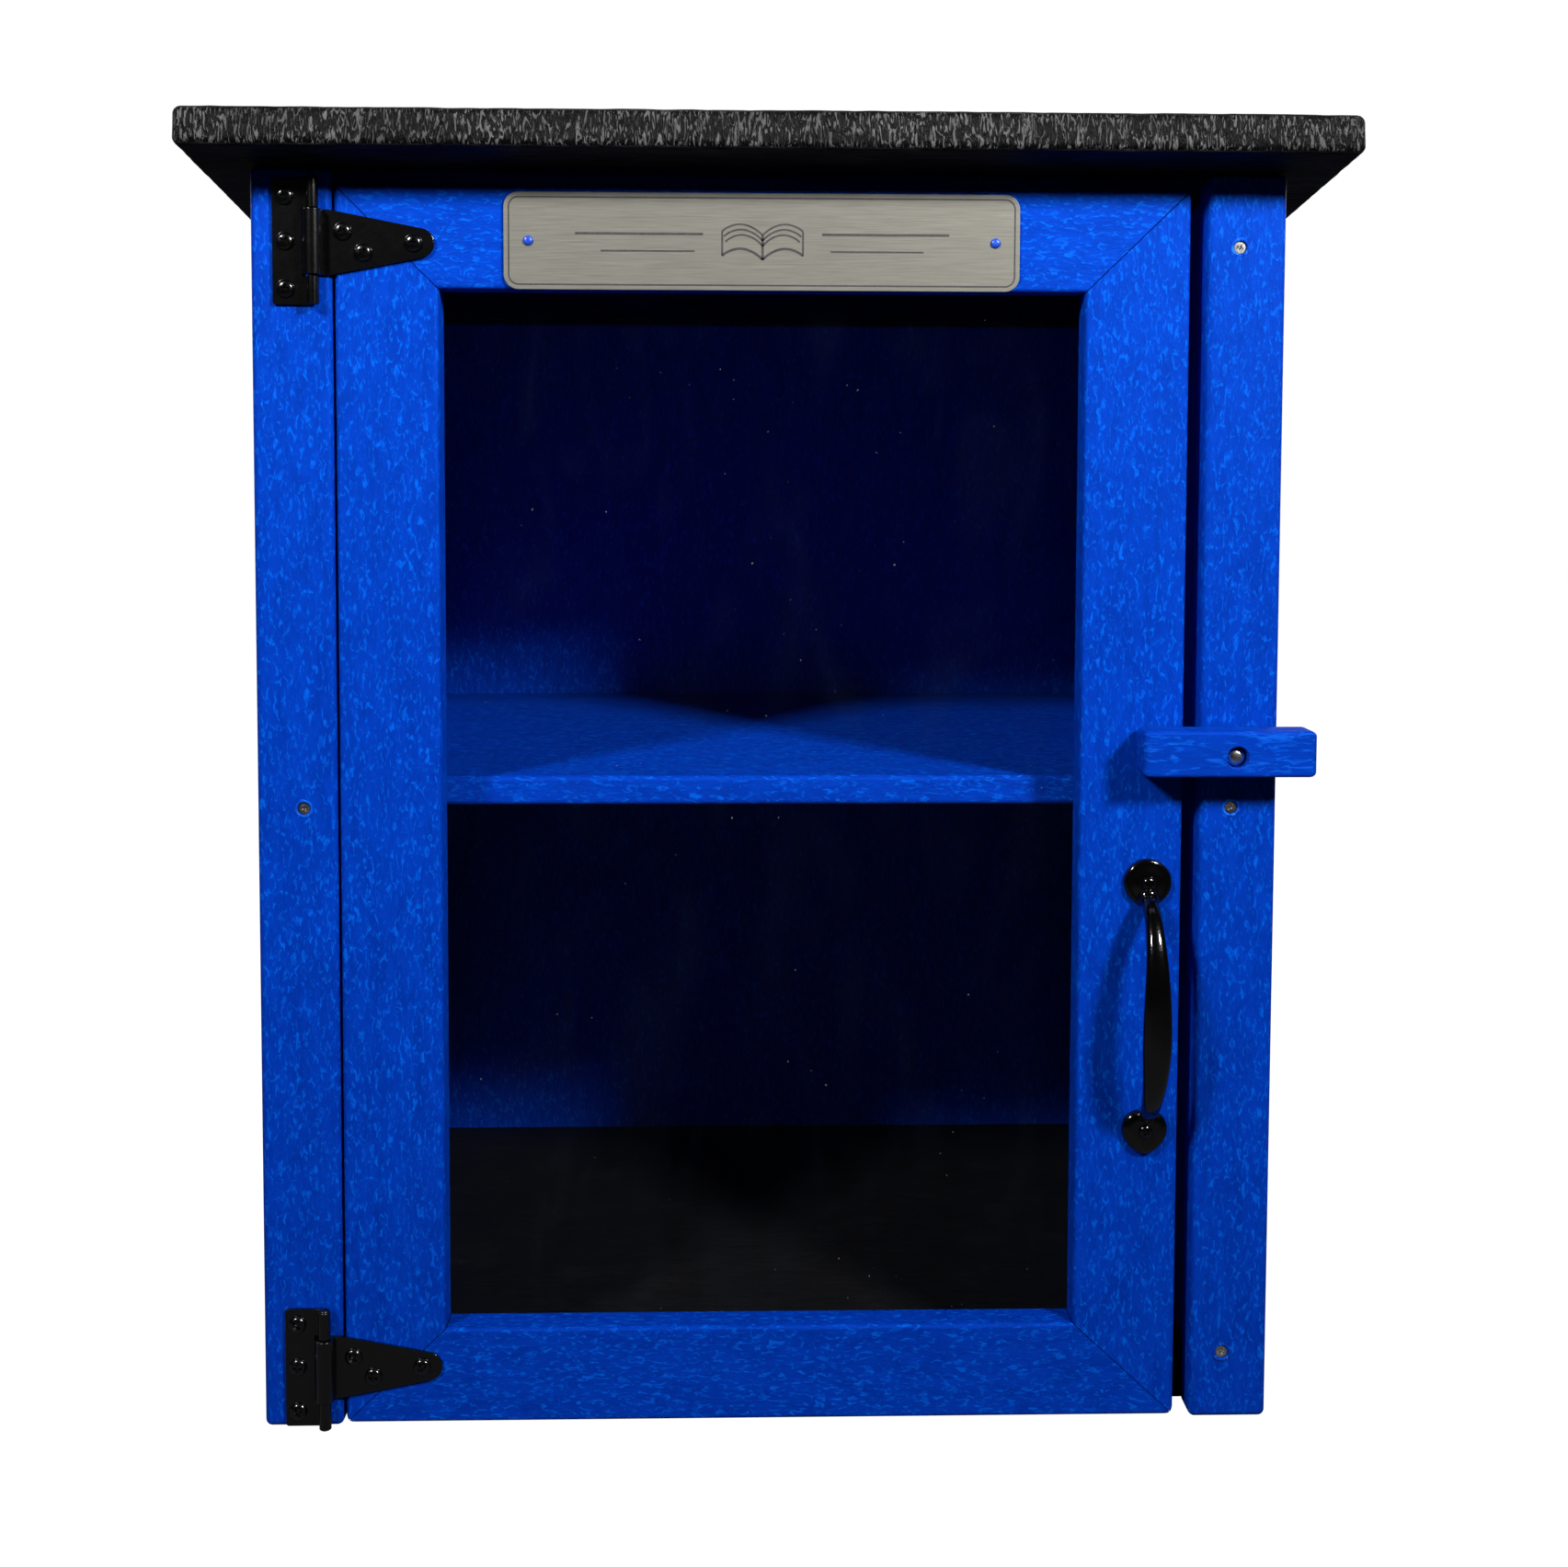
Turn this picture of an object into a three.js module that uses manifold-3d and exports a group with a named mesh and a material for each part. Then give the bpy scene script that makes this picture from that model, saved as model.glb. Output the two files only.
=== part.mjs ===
// Book exchange cabinet made of recycled plastic lumber: a box with one shelf, a mono-pitch
// roof board, and a framed window door on two T-hinges, held shut by a turn button.
//
// Millimetres. +Z up, the door faces -Y, +X is to the right of someone facing the door.
// The origin is on the ground, under the centre of the roof's footprint.

import * as THREE from "three";
import { mergeVertices } from "three/addons/utils/BufferGeometryUtils.js";
import Module from "manifold-3d";

const wasm = await Module();
wasm.setup();

// ---------------------------------------------------------------- driving dimensions

const BOARD = 19; // thickness of the plastic boards
const FIT = 0.3; // gap around screws, pins and cut faces
const HOLE_SIDES = 12;

const BODY = { width: 489, depth: 394, frontY: -190, height: 606 };
const POST = { width: 38 };
const PANEL_INSET = 10; // outer face of a side panel, in from the post's outer edge
const SHELF = { top: 314, thickness: 14.5, setback: 27 };
const FLOOR_SETBACK = BOARD + 1;

const ROOF = { width: 543, planDepth: 448, slope: THREE.MathUtils.degToRad(7) };

const DOOR = {
  gapLeft: 1.25,
  width: 404,
  bottom: 1.5,
  top: 597.5,
  boards: { left: 48.5, right: 50, top: 48.5, bottom: 46.5 }, // face widths of the frame's boards
  mitreGap: 0.25,
};
const PANE = { thickness: 3, overlap: 12 };

const HINGE = {
  pinX: -214.25,
  pinProud: 4.75, // pin axis, in front of the boards' face
  plate: 1.75,
  heights: [30.25, 570.25], // middle of the lower and the upper hinge
  leaf: { height: 58, outer: 19.5, inner: 5, knuckleRadius: 2.9, knuckle: 13.25 },
  strap: { knuckleRadius: 4.4, knuckle: 30.5, tip: 56, tipRadius: 7, rootHalf: 15.25 },
  pinRadius: 1.75,
  boreRadius: 2.05,
  leafScrews: [[-13.5, 21.5], [-13.5, 0.5], [-13.5, -21.5]],
  strapScrews: [[13.25, 5.25], [22.75, -4.5], [46.25, 0]],
};

const HANDLE = {
  x: 182.25,
  topZ: 266.5,
  footZ: 145,
  proud: 30,
  rosetteRadius: 11.5,
  base: 4,
  gripThickness: 7.5,
  gripWidth: 14.5,
  neckWidth: 7.5,
};

const PLATE = { x: -4.5, z: 571.75, width: 243, height: 45.5, corner: 7, thickness: 1.5, rivet: 110 };

const LATCH = {
  pivot: [220, 330],
  centre: [216.5, 331.5],
  width: 83,
  height: 22,
  corner: 4,
  washer: { thickness: 2, radius: 8 },
  counterbore: { radius: 5.5, depth: 6 },
  screw: { radius: 2.5, head: 4.6 },
};

const POST_SCREW = { x: 222.25, heights: [33, 302.75, 570.75] };

// Screws as turned profiles: head and shank radius, head height, length under the head.
const PAN_SCREW = { head: 4.3, headHeight: 2.2, shank: 1.6, length: 14 };
const SMALL_PAN_SCREW = { head: 2.4, headHeight: 1.4, shank: 1.2, length: 10 };
const HANDLE_SCREW = { head: 3.4, headHeight: 1.8, shank: 1.6, length: 16 };
const FLAT_SCREW = { head: 3, recess: 0.5, cone: 1.9, shank: 1.5, length: 42 };
const ROOF_SCREW = { head: 4, recess: 0.5, cone: 2.6, shank: 1.8, length: 45 };

// ---------------------------------------------------------------- worked-out places

const front = BODY.frontY;
const doorBack = front + BOARD;
const bodyBack = front + BODY.depth;
const backPanelFront = bodyBack - BOARD;
const halfBody = BODY.width / 2;
const panelOuter = halfBody - PANEL_INSET;
const panelInner = panelOuter - BOARD;
const postInner = halfBody - POST.width;
const doorLeft = -postInner + DOOR.gapLeft;
const doorRight = doorLeft + DOOR.width;
const hingeY = front - HINGE.pinProud;

/** Height of the roof board's underside at depth y. */
const roofUnderside = (y) => BODY.height - (y - front) * Math.tan(ROOF.slope);

// ---------------------------------------------------------------- materials

const material = (color, roughness, metalness, extra = {}) =>
  new THREE.MeshStandardMaterial({ color, roughness, metalness, ...extra });

const blueBoard = material(0x0a46b4, 0.55, 0);
const blackBoard = material(0x1c1d20, 0.6, 0);
const clearSheet = material(0xdfe8ee, 0.05, 0, { transparent: true, opacity: 0.18 });
const blackEnamel = material(0x0c0c0e, 0.3, 0.4);
const stainless = material(0xc4c6c8, 0.3, 1);
const champagne = material(0xa5a395, 0.35, 0.9);
const blueCap = material(0x1c4fae, 0.4, 0);

// ---------------------------------------------------------------- solids

/** Closed geometry to a solid that can be cut. */
function toSolid(geometry) {
  const bare = geometry.clone();
  for (const name of ["normal", "uv"]) bare.deleteAttribute(name);
  const merged = mergeVertices(bare, 1e-4);
  return new wasm.Manifold(new wasm.Mesh({
    numProp: 3,
    vertProperties: new Float32Array(merged.attributes.position.array),
    triVerts: new Uint32Array(merged.index.array),
  }));
}

/** Solid back to geometry. */
function toGeometry(solid) {
  const mesh = solid.getMesh();
  const geometry = new THREE.BufferGeometry();
  geometry.setAttribute("position", new THREE.BufferAttribute(mesh.vertProperties, 3));
  geometry.setIndex(new THREE.BufferAttribute(mesh.triVerts, 1));
  geometry.computeVertexNormals();
  return geometry;
}

/** First geometry joined with the others. */
function joined(...geometries) {
  return toGeometry(geometries.map(toSolid).reduce((whole, next) => whole.add(next)));
}

/** Geometry less each of the cutters. */
function cut(geometry, cutters) {
  if (!cutters.length) return geometry;
  return toGeometry(cutters.map(toSolid).reduce((left, next) => left.subtract(next), toSolid(geometry)));
}

/** Box from its lowest and highest corners. */
function block([x0, y0, z0], [x1, y1, z1]) {
  const box = new THREE.BoxGeometry(x1 - x0, y1 - y0, z1 - z0);
  return box.translate((x0 + x1) / 2, (y0 + y1) / 2, (z0 + z1) / 2);
}

/** Flat outline in X and Z, given a thickness from y0 back to y1. */
function plateXZ(shape, y0, y1, curveSegments = 5) {
  const flat = new THREE.ExtrudeGeometry(shape, { depth: y1 - y0, bevelEnabled: false, curveSegments });
  return flat.rotateX(Math.PI / 2).translate(0, y1, 0);
}

/** Outline in Y and Z, given a width from x0 to x1. */
function slabYZ(points, x0, x1) {
  const shape = new THREE.Shape(points.map(([y, z]) => new THREE.Vector2(y, z)));
  const slab = new THREE.ExtrudeGeometry(shape, { depth: x1 - x0, bevelEnabled: false });
  const toWorld = new THREE.Matrix4().set(0, 0, 1, x0, 1, 0, 0, 0, 0, 1, 0, 0, 0, 0, 0, 1);
  return slab.applyMatrix4(toWorld);
}

/** Closed polygon in X and Z as a shape. */
function polygon(points) {
  return new THREE.Shape(points.map(([x, z]) => new THREE.Vector2(x, z)));
}

/** Rectangle with round corners, centred on x, z. */
function roundedRectangle(x, z, width, height, radius) {
  const [left, right, low, high] = [x - width / 2, x + width / 2, z - height / 2, z + height / 2];
  const shape = new THREE.Shape();
  shape.moveTo(left + radius, low);
  shape.lineTo(right - radius, low);
  shape.absarc(right - radius, low + radius, radius, -Math.PI / 2, 0);
  shape.lineTo(right, high - radius);
  shape.absarc(right - radius, high - radius, radius, 0, Math.PI / 2);
  shape.lineTo(left + radius, high);
  shape.absarc(left + radius, high - radius, radius, Math.PI / 2, Math.PI);
  shape.lineTo(left, low + radius);
  shape.absarc(left + radius, low + radius, radius, Math.PI, Math.PI * 1.5);
  return shape;
}

/** Turned piece about the Y axis, from [radius, y] points with y growing. */
function turned(profile, sides = HOLE_SIDES) {
  return new THREE.LatheGeometry(profile.map(([r, y]) => new THREE.Vector2(r, y)), sides);
}

/** Upright tube section about the Z axis. */
function uprightCylinder(radius, z0, z1, sides = 20) {
  const cylinder = new THREE.CylinderGeometry(radius, radius, z1 - z0, sides);
  return cylinder.rotateX(Math.PI / 2).translate(0, 0, (z0 + z1) / 2);
}

// ---------------------------------------------------------------- screws
// A screw points along +Y from its seat at the origin, with its head towards -Y.

const panScrew = ({ head, headHeight, shank, length }) => turned([
  [0, -headHeight],
  [head * 0.6, -headHeight * 0.9],
  [head * 0.92, -headHeight * 0.5],
  [head, 0],
  [shank, 0],
  [shank, length - shank],
  [0, length],
]);

const panScrewHole = ({ shank, length }) => turned([
  [0, -HINGE.plate * 2],
  [shank + FIT, -HINGE.plate * 2],
  [shank + FIT, length + FIT],
  [0, length + FIT],
]);

const flatScrew = ({ head, recess, cone, shank, length }) => turned([
  [0, recess],
  [head, recess],
  [shank, recess + cone],
  [shank, length - shank],
  [0, length],
]);

const flatScrewHole = ({ head, recess, cone, shank, length }) => turned([
  [0, -1],
  [head + FIT, -1],
  [head + FIT, recess + FIT],
  [shank + FIT, recess + cone + FIT],
  [shank + FIT, length + FIT],
  [0, length + FIT],
]);

/** Geometry moved to x, y, z, as a cutter. */
const at = (geometry, [x, y, z]) => geometry.translate(x, y, z);

// ---------------------------------------------------------------- the object

const cabinet = new THREE.Group();
const door = new THREE.Group();
const latch = new THREE.Group();
door.position.set(HINGE.pinX, hingeY, 0);
latch.position.set(LATCH.pivot[0], 0, LATCH.pivot[1]);

/** Adds a named mesh whose geometry is given in the object's frame. */
function add(group, name, geometry, finish) {
  const { x, y, z } = group.position;
  const mesh = new THREE.Mesh(geometry.translate(-x, -y, -z), finish);
  mesh.name = name;
  group.add(mesh);
}

/** Adds a named mesh whose geometry is placed by its position. */
function addAt(group, name, geometry, finish, [x, y, z]) {
  const mesh = new THREE.Mesh(geometry, finish);
  mesh.name = name;
  mesh.position.set(x, y, z).sub(group.position);
  group.add(mesh);
}

const sides = [["left", -1], ["right", 1]];

// The left post's upper and lower corners are held through the hinge leaves.
const postScrews = [
  ["left_post_screw", -POST_SCREW.x, POST_SCREW.heights[1]],
  ["right_post_screw_low", POST_SCREW.x, POST_SCREW.heights[0]],
  ["right_post_screw_middle", POST_SCREW.x, POST_SCREW.heights[1]],
  ["right_post_screw_high", POST_SCREW.x, POST_SCREW.heights[2]],
].map(([name, x, z]) => ({ name, seat: [x, front, z] }));

const roofScrewRows = [["front", front + 60], ["middle", front + 190], ["rear", bodyBack - 60]];

/** Holes for the post screws, as cutters. */
const postScrewHoles = (side) => postScrews
  .filter(({ seat }) => Math.sign(seat[0]) === side)
  .map(({ seat }) => at(flatScrewHole(FLAT_SCREW), seat));

/** The roof's own frame: origin at its underside above the front plane, y along the slope. */
const roofFrame = new THREE.Matrix4()
  .makeTranslation(0, front, BODY.height)
  .multiply(new THREE.Matrix4().makeRotationX(-ROOF.slope));

/** Seat of a roof screw, in the roof's frame. */
function roofScrewSeat(side, y) {
  return [side * (panelInner + BOARD / 2), (y - front) / Math.cos(ROOF.slope), BOARD];
}

const downwards = new THREE.Matrix4().makeRotationX(-Math.PI / 2);

/** Cutters for the roof screws of one side, in the object's frame. */
const roofScrewHoles = (side) => roofScrewRows.map(([, y]) =>
  at(flatScrewHole(ROOF_SCREW).applyMatrix4(downwards), roofScrewSeat(side, y)).applyMatrix4(roofFrame));

function buildCarcass() {
  const latchHole = at(turned([
    [0, -1],
    [LATCH.screw.radius + FIT, -1],
    [LATCH.screw.radius + FIT, BOARD + 22],
    [0, BOARD + 22],
  ]), [LATCH.pivot[0], front, LATCH.pivot[1]]);

  for (const [name, side] of sides) {
    const [x0, x1] = side < 0 ? [-panelOuter, -panelInner] : [panelInner, panelOuter];
    const panel = slabYZ([
      [doorBack, 0],
      [backPanelFront, 0],
      [backPanelFront, roofUnderside(backPanelFront) - FIT],
      [doorBack, roofUnderside(doorBack) - FIT],
    ], x0, x1);
    const hingeHoles = side < 0 ? leafScrewHoles() : [latchHole.clone()];
    const panelCutters = [...postScrewHoles(side), ...roofScrewHoles(side), ...hingeHoles];
    add(cabinet, `${name}_side_panel`, cut(panel, panelCutters), blueBoard);

    const [p0, p1] = side < 0 ? [-halfBody, -postInner] : [postInner, halfBody];
    const post = slabYZ([
      [front, 0],
      [doorBack, 0],
      [doorBack, roofUnderside(doorBack) - FIT],
      [front, roofUnderside(front) - FIT],
    ], p0, p1);
    const postCutters = [...postScrewHoles(side), ...(side < 0 ? leafScrewHoles() : [latchHole.clone()])];
    add(cabinet, `${name}_front_post`, cut(post, postCutters), blueBoard);
  }

  add(cabinet, "back_panel", slabYZ([
    [backPanelFront, 0],
    [bodyBack, 0],
    [bodyBack, roofUnderside(bodyBack) - FIT],
    [backPanelFront, roofUnderside(backPanelFront) - FIT],
  ], -panelOuter, panelOuter), blueBoard);

  const floor = block([-panelInner, front + FLOOR_SETBACK, 0], [panelInner, backPanelFront, BOARD]);
  add(cabinet, "floor_board", floor, blackBoard);

  const shelfLow = SHELF.top - SHELF.thickness;
  const shelf = block([-panelInner, front + SHELF.setback, shelfLow], [panelInner, backPanelFront, SHELF.top]);
  add(cabinet, "shelf_board", shelf, blueBoard);

  for (const { name, seat } of postScrews) {
    addAt(cabinet, name, flatScrew(FLAT_SCREW), stainless, seat);
  }
}

function buildRoof() {
  // The board is as long along the slope as its footprint asks for.
  const length = (ROOF.planDepth - BOARD * Math.sin(ROOF.slope)) / Math.cos(ROOF.slope);
  const frontEdge = (-ROOF.planDepth / 2 - front) / Math.cos(ROOF.slope);
  const board = block([-ROOF.width / 2, frontEdge, 0], [ROOF.width / 2, frontEdge + length, BOARD]);
  board.applyMatrix4(roofFrame);
  add(cabinet, "roof_board", cut(board, [...roofScrewHoles(-1), ...roofScrewHoles(1)]), blackBoard);

  for (const [name, side] of sides) {
    for (const [row, y] of roofScrewRows) {
      const mesh = new THREE.Mesh(flatScrew(ROOF_SCREW), stainless);
      mesh.name = `roof_screw_${name}_${row}`;
      mesh.position.set(...roofScrewSeat(side, y)).applyMatrix4(roofFrame);
      mesh.rotation.x = -Math.PI / 2 - ROOF.slope;
      cabinet.add(mesh);
    }
  }
}

// Hinge holes run through the plates and on into the boards behind.

const hingeSeat = ([dx, dz], z) => [HINGE.pinX + dx, front, z + dz];

function leafScrewHoles() {
  return HINGE.heights.flatMap((z) => HINGE.leafScrews.map((place) =>
    at(panScrewHole(PAN_SCREW), hingeSeat(place, z))));
}

function strapScrewHoles(z) {
  return HINGE.strapScrews.map((place) => at(panScrewHole(PAN_SCREW), hingeSeat(place, z)));
}

/** Fixed leaf: a plate on the post with a knuckle at each end of the pin. */
function hingeLeaf(z) {
  const { height, outer, inner, knuckleRadius, knuckle } = HINGE.leaf;
  const half = height / 2;
  const plate = block(
    [HINGE.pinX - outer, front - HINGE.plate, z - half],
    [HINGE.pinX - inner, front, z + half],
  );
  const knuckles = [[half - knuckle, half], [-half, -half + knuckle]].flatMap(([low, high]) => [
    at(uprightCylinder(knuckleRadius, low, high), [HINGE.pinX, hingeY, z]),
    block([HINGE.pinX - inner - 1, front - HINGE.plate, z + low], [HINGE.pinX, front, z + high]),
    block([HINGE.pinX - knuckleRadius, hingeY, z + low], [HINGE.pinX, front, z + high]),
  ]);
  const bore = at(uprightCylinder(HINGE.boreRadius, -half - 1, half + 1), [HINGE.pinX, hingeY, z]);
  const holes = HINGE.leafScrews.map((place) => at(panScrewHole(PAN_SCREW), hingeSeat(place, z)));
  return cut(joined(plate, ...knuckles), [bore, ...holes]);
}

/** Long strap: a tapered tongue with a round tip, rolled round the pin at its root. */
function hingeStrap(z) {
  const { knuckleRadius, knuckle, tip, tipRadius, rootHalf } = HINGE.strap;
  const tongue = new THREE.Shape();
  tongue.moveTo(HINGE.pinX, z - rootHalf);
  tongue.lineTo(HINGE.pinX + 7, z - rootHalf);
  tongue.lineTo(HINGE.pinX + tip - tipRadius, z - tipRadius);
  tongue.absarc(HINGE.pinX + tip - tipRadius, z, tipRadius, -Math.PI / 2, Math.PI / 2);
  tongue.lineTo(HINGE.pinX + 7, z + rootHalf);
  tongue.lineTo(HINGE.pinX, z + rootHalf);
  const plate = plateXZ(tongue, front - HINGE.plate, front);
  const web = block(
    [HINGE.pinX, hingeY, z - knuckle / 2],
    [HINGE.pinX + knuckleRadius - 0.4, front - HINGE.plate + 0.5, z + knuckle / 2],
  );
  const roll = at(uprightCylinder(knuckleRadius, -knuckle / 2, knuckle / 2), [HINGE.pinX, hingeY, z]);
  const bore = at(uprightCylinder(HINGE.boreRadius, -knuckle, knuckle), [HINGE.pinX, hingeY, z]);
  // The tongue starts clear of the leaf's plate, and nothing of the roll touches the post.
  const room = block([HINGE.pinX - 10, front - 0.35, z - knuckle], [HINGE.pinX + 4, front + 1, z + knuckle]);
  return cut(joined(plate, web, roll), [bore, room, ...strapScrewHoles(z)]);
}

function buildHinges() {
  const names = ["lower", "upper"];
  HINGE.heights.forEach((z, index) => {
    const name = names[index];
    add(cabinet, `${name}_hinge_leaf`, hingeLeaf(z), blackEnamel);
    add(door, `${name}_hinge_strap`, hingeStrap(z), blackEnamel);

    const half = HINGE.leaf.height / 2;
    const pinHead = HINGE.pinRadius + 1;
    const pin = turned([
      [0, -half - 1.5],
      [pinHead * 0.8, -half - 1.25],
      [pinHead, -half - FIT],
      [HINGE.pinRadius, -half - FIT],
      [HINGE.pinRadius, half],
      [0, half],
    ]).rotateX(-Math.PI / 2);
    addAt(cabinet, `${name}_hinge_pin`, pin, blackEnamel, [HINGE.pinX, hingeY, z]);

    HINGE.leafScrews.forEach(([dx, dz], number) => {
      const seat = [HINGE.pinX + dx, front - HINGE.plate, z + dz];
      addAt(cabinet, `${name}_leaf_screw_${number + 1}`, panScrew(PAN_SCREW), blackEnamel, seat);
    });
    HINGE.strapScrews.forEach(([dx, dz], number) => {
      const seat = [HINGE.pinX + dx, front - HINGE.plate, z + dz];
      addAt(door, `${name}_strap_screw_${number + 1}`, panScrew(PAN_SCREW), blackEnamel, seat);
    });
  });
}

/** The opening that the door's frame leaves for the window. */
function windowOpening() {
  const { bottom, top, boards } = DOOR;
  return {
    left: doorLeft + boards.left,
    right: doorRight - boards.right,
    low: bottom + boards.bottom,
    high: top - boards.top,
  };
}

/** The four mitred boards of the door frame, as outlines in X and Z. */
function doorOutlines() {
  const { bottom, top, mitreGap: gap } = DOOR;
  const { left, right, low, high } = windowOpening();
  return {
    door_bottom_rail: [[doorLeft + gap, bottom], [doorRight - gap, bottom], [right - gap, low], [left + gap, low]],
    door_top_rail: [[left + gap, high], [right - gap, high], [doorRight - gap, top], [doorLeft + gap, top]],
    door_left_stile: [[doorLeft, bottom + gap], [left, low + gap], [left, high - gap], [doorLeft, top - gap]],
    door_right_stile: [[doorRight, bottom + gap], [doorRight, top - gap], [right, high - gap], [right, low + gap]],
  };
}

function buildDoor() {
  const opening = windowOpening();
  const screwIn = PANE.overlap / 2;
  const heights = [["low", opening.low], ["middle", (opening.low + opening.high) / 2], ["high", opening.high]];
  const paneScrews = heights.flatMap(([row, z]) => [
    { name: `left_${row}`, seat: [opening.left - screwIn, doorBack + PANE.thickness, z] },
    { name: `right_${row}`, seat: [opening.right + screwIn, doorBack + PANE.thickness, z] },
  ]);

  const backwards = new THREE.Matrix4().makeRotationX(Math.PI);
  const paneHoles = () => paneScrews.map(({ seat }) =>
    at(panScrewHole(SMALL_PAN_SCREW).applyMatrix4(backwards), seat));
  const plateHoles = () => [-1, 1].map((side) =>
    at(panScrewHole(SMALL_PAN_SCREW), [PLATE.x + side * PLATE.rivet, front - PLATE.thickness, PLATE.z]));
  const handleHoles = () => [HANDLE.topZ, HANDLE.footZ].map((z) =>
    at(panScrewHole(HANDLE_SCREW), [HANDLE.x, front - HANDLE.base, z]));
  const strapHoles = () => HINGE.heights.flatMap(strapScrewHoles);

  const cutters = {
    door_top_rail: () => [...plateHoles(), ...strapHoles()],
    door_bottom_rail: () => strapHoles(),
    door_left_stile: () => [...strapHoles(), ...paneHoles()],
    door_right_stile: () => [...handleHoles(), ...paneHoles()],
  };
  for (const [name, outline] of Object.entries(doorOutlines())) {
    const board = plateXZ(polygon(outline), front, doorBack);
    add(door, name, cut(board, cutters[name]()), blueBoard);
  }

  const pane = block(
    [opening.left - PANE.overlap, doorBack, opening.low - PANE.overlap],
    [opening.right + PANE.overlap, doorBack + PANE.thickness, opening.high + PANE.overlap],
  );
  add(door, "window_pane", cut(pane, paneHoles()), clearSheet);
  for (const { name, seat } of paneScrews) {
    addAt(door, `pane_screw_${name}`, panScrew(SMALL_PAN_SCREW).applyMatrix4(backwards), stainless, seat);
  }

  const nameplate = plateXZ(
    roundedRectangle(PLATE.x, PLATE.z, PLATE.width, PLATE.height, PLATE.corner),
    front - PLATE.thickness,
    front,
  );
  add(door, "nameplate", cut(nameplate, plateHoles()), champagne);
  for (const [name, side] of sides) {
    const seat = [PLATE.x + side * PLATE.rivet, front - PLATE.thickness, PLATE.z];
    addAt(door, `nameplate_fastener_${name}`, panScrew(SMALL_PAN_SCREW), blueCap, seat);
  }
}

/** Pull handle: a round rosette, a leaf-shaped foot and a bowed grip between them. */
function pullHandle() {
  const { x, topZ, footZ, proud, rosetteRadius, base, gripThickness, gripWidth, neckWidth } = HANDLE;
  const rosette = at(turned([
    [0, -base],
    [rosetteRadius * 0.7, -base],
    [rosetteRadius, -base * 0.4],
    [rosetteRadius, 0],
    [0, 0],
  ], 28), [x, front, topZ]);

  const foot = new THREE.Shape();
  foot.moveTo(x, footZ - 13.5);
  foot.quadraticCurveTo(x + 7, footZ - 11, x + 10.5, footZ - 1);
  foot.quadraticCurveTo(x + 12, footZ + 6, x + 5, footZ + 9);
  foot.lineTo(x - 5, footZ + 9);
  foot.quadraticCurveTo(x - 12, footZ + 6, x - 10.5, footZ - 1);
  foot.quadraticCurveTo(x - 7, footZ - 11, x, footZ - 13.5);
  const footPlate = plateXZ(foot, front - base, front, 6);

  // The grip springs from just inside each base and bows out between them.
  const ends = { high: topZ - rosetteRadius + 3, low: footZ + 8 };
  const rise = ends.high - ends.low;
  const centreLine = proud - gripThickness / 2;
  const path = new THREE.CatmullRomCurve3([
    [-2, 0],
    [-centreLine * 0.45, 0.03],
    [-centreLine * 0.85, 0.14],
    [-centreLine, 0.32],
    [-centreLine, 0.62],
    [-centreLine * 0.85, 0.85],
    [-centreLine * 0.45, 0.97],
    [-2, 1],
  ].map(([y, share]) => new THREE.Vector3(0, front + y, ends.low + share * rise)));
  const section = new THREE.Shape();
  section.absarc(0, 0, gripThickness / 2, 0, Math.PI * 2);
  const bow = new THREE.ExtrudeGeometry(section, { steps: 26, extrudePath: path, curveSegments: 10 });
  const places = bow.attributes.position;
  for (let i = 0; i < places.count; i += 1) {
    const share = THREE.MathUtils.clamp((places.getZ(i) - ends.low) / rise, 0, 1);
    const width = neckWidth + (gripWidth - neckWidth) * Math.sin(Math.PI * share) ** 1.5;
    places.setX(i, x + (places.getX(i) * width) / gripThickness);
  }
  const holes = [topZ, footZ].map((z) => at(panScrewHole(HANDLE_SCREW), [x, front - base, z]));
  return cut(joined(rosette, footPlate, bow), holes);
}

function buildHandle() {
  add(door, "pull_handle", pullHandle(), blackEnamel);
  for (const [name, z] of [["upper", HANDLE.topZ], ["lower", HANDLE.footZ]]) {
    const seat = [HANDLE.x, front - HANDLE.base, z];
    addAt(door, `handle_screw_${name}`, panScrew(HANDLE_SCREW), blackEnamel, seat);
  }
}

function buildLatch() {
  const [pivotX, pivotZ] = LATCH.pivot;
  const [x, z] = LATCH.centre;
  const { washer, counterbore, screw } = LATCH;
  const back = front - washer.thickness;
  const face = back - BOARD;
  const bore = at(turned([
    [0, -1],
    [counterbore.radius, -1],
    [counterbore.radius, counterbore.depth],
    [screw.radius + FIT, counterbore.depth],
    [screw.radius + FIT, BOARD + 1],
    [0, BOARD + 1],
  ], 20), [pivotX, face, pivotZ]);
  const button = plateXZ(roundedRectangle(x, z, LATCH.width, LATCH.height, LATCH.corner), face, back, 3);
  add(latch, "latch_block", cut(button, [bore]), blueBoard);

  addAt(cabinet, "latch_washer", turned([
    [screw.radius + FIT, 0],
    [washer.radius, 0],
    [washer.radius, washer.thickness],
    [screw.radius + FIT, washer.thickness],
    [screw.radius + FIT, 0],
  ], 20), stainless, [pivotX, back, pivotZ]);

  const seat = face + counterbore.depth;
  addAt(cabinet, "latch_screw", turned([
    [0, -2.8],
    [screw.head * 0.6, -2.4],
    [screw.head * 0.93, -1.2],
    [screw.head, 0],
    [screw.radius, 0],
    [screw.radius, front - seat + BOARD + 16],
    [0, front - seat + BOARD + 20],
  ], 20), stainless, [pivotX, seat, pivotZ]);
}

buildCarcass();
buildRoof();
buildHinges();
buildDoor();
buildHandle();
buildLatch();

const group = new THREE.Group();
group.add(cabinet, door, latch);

export default group;
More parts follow.
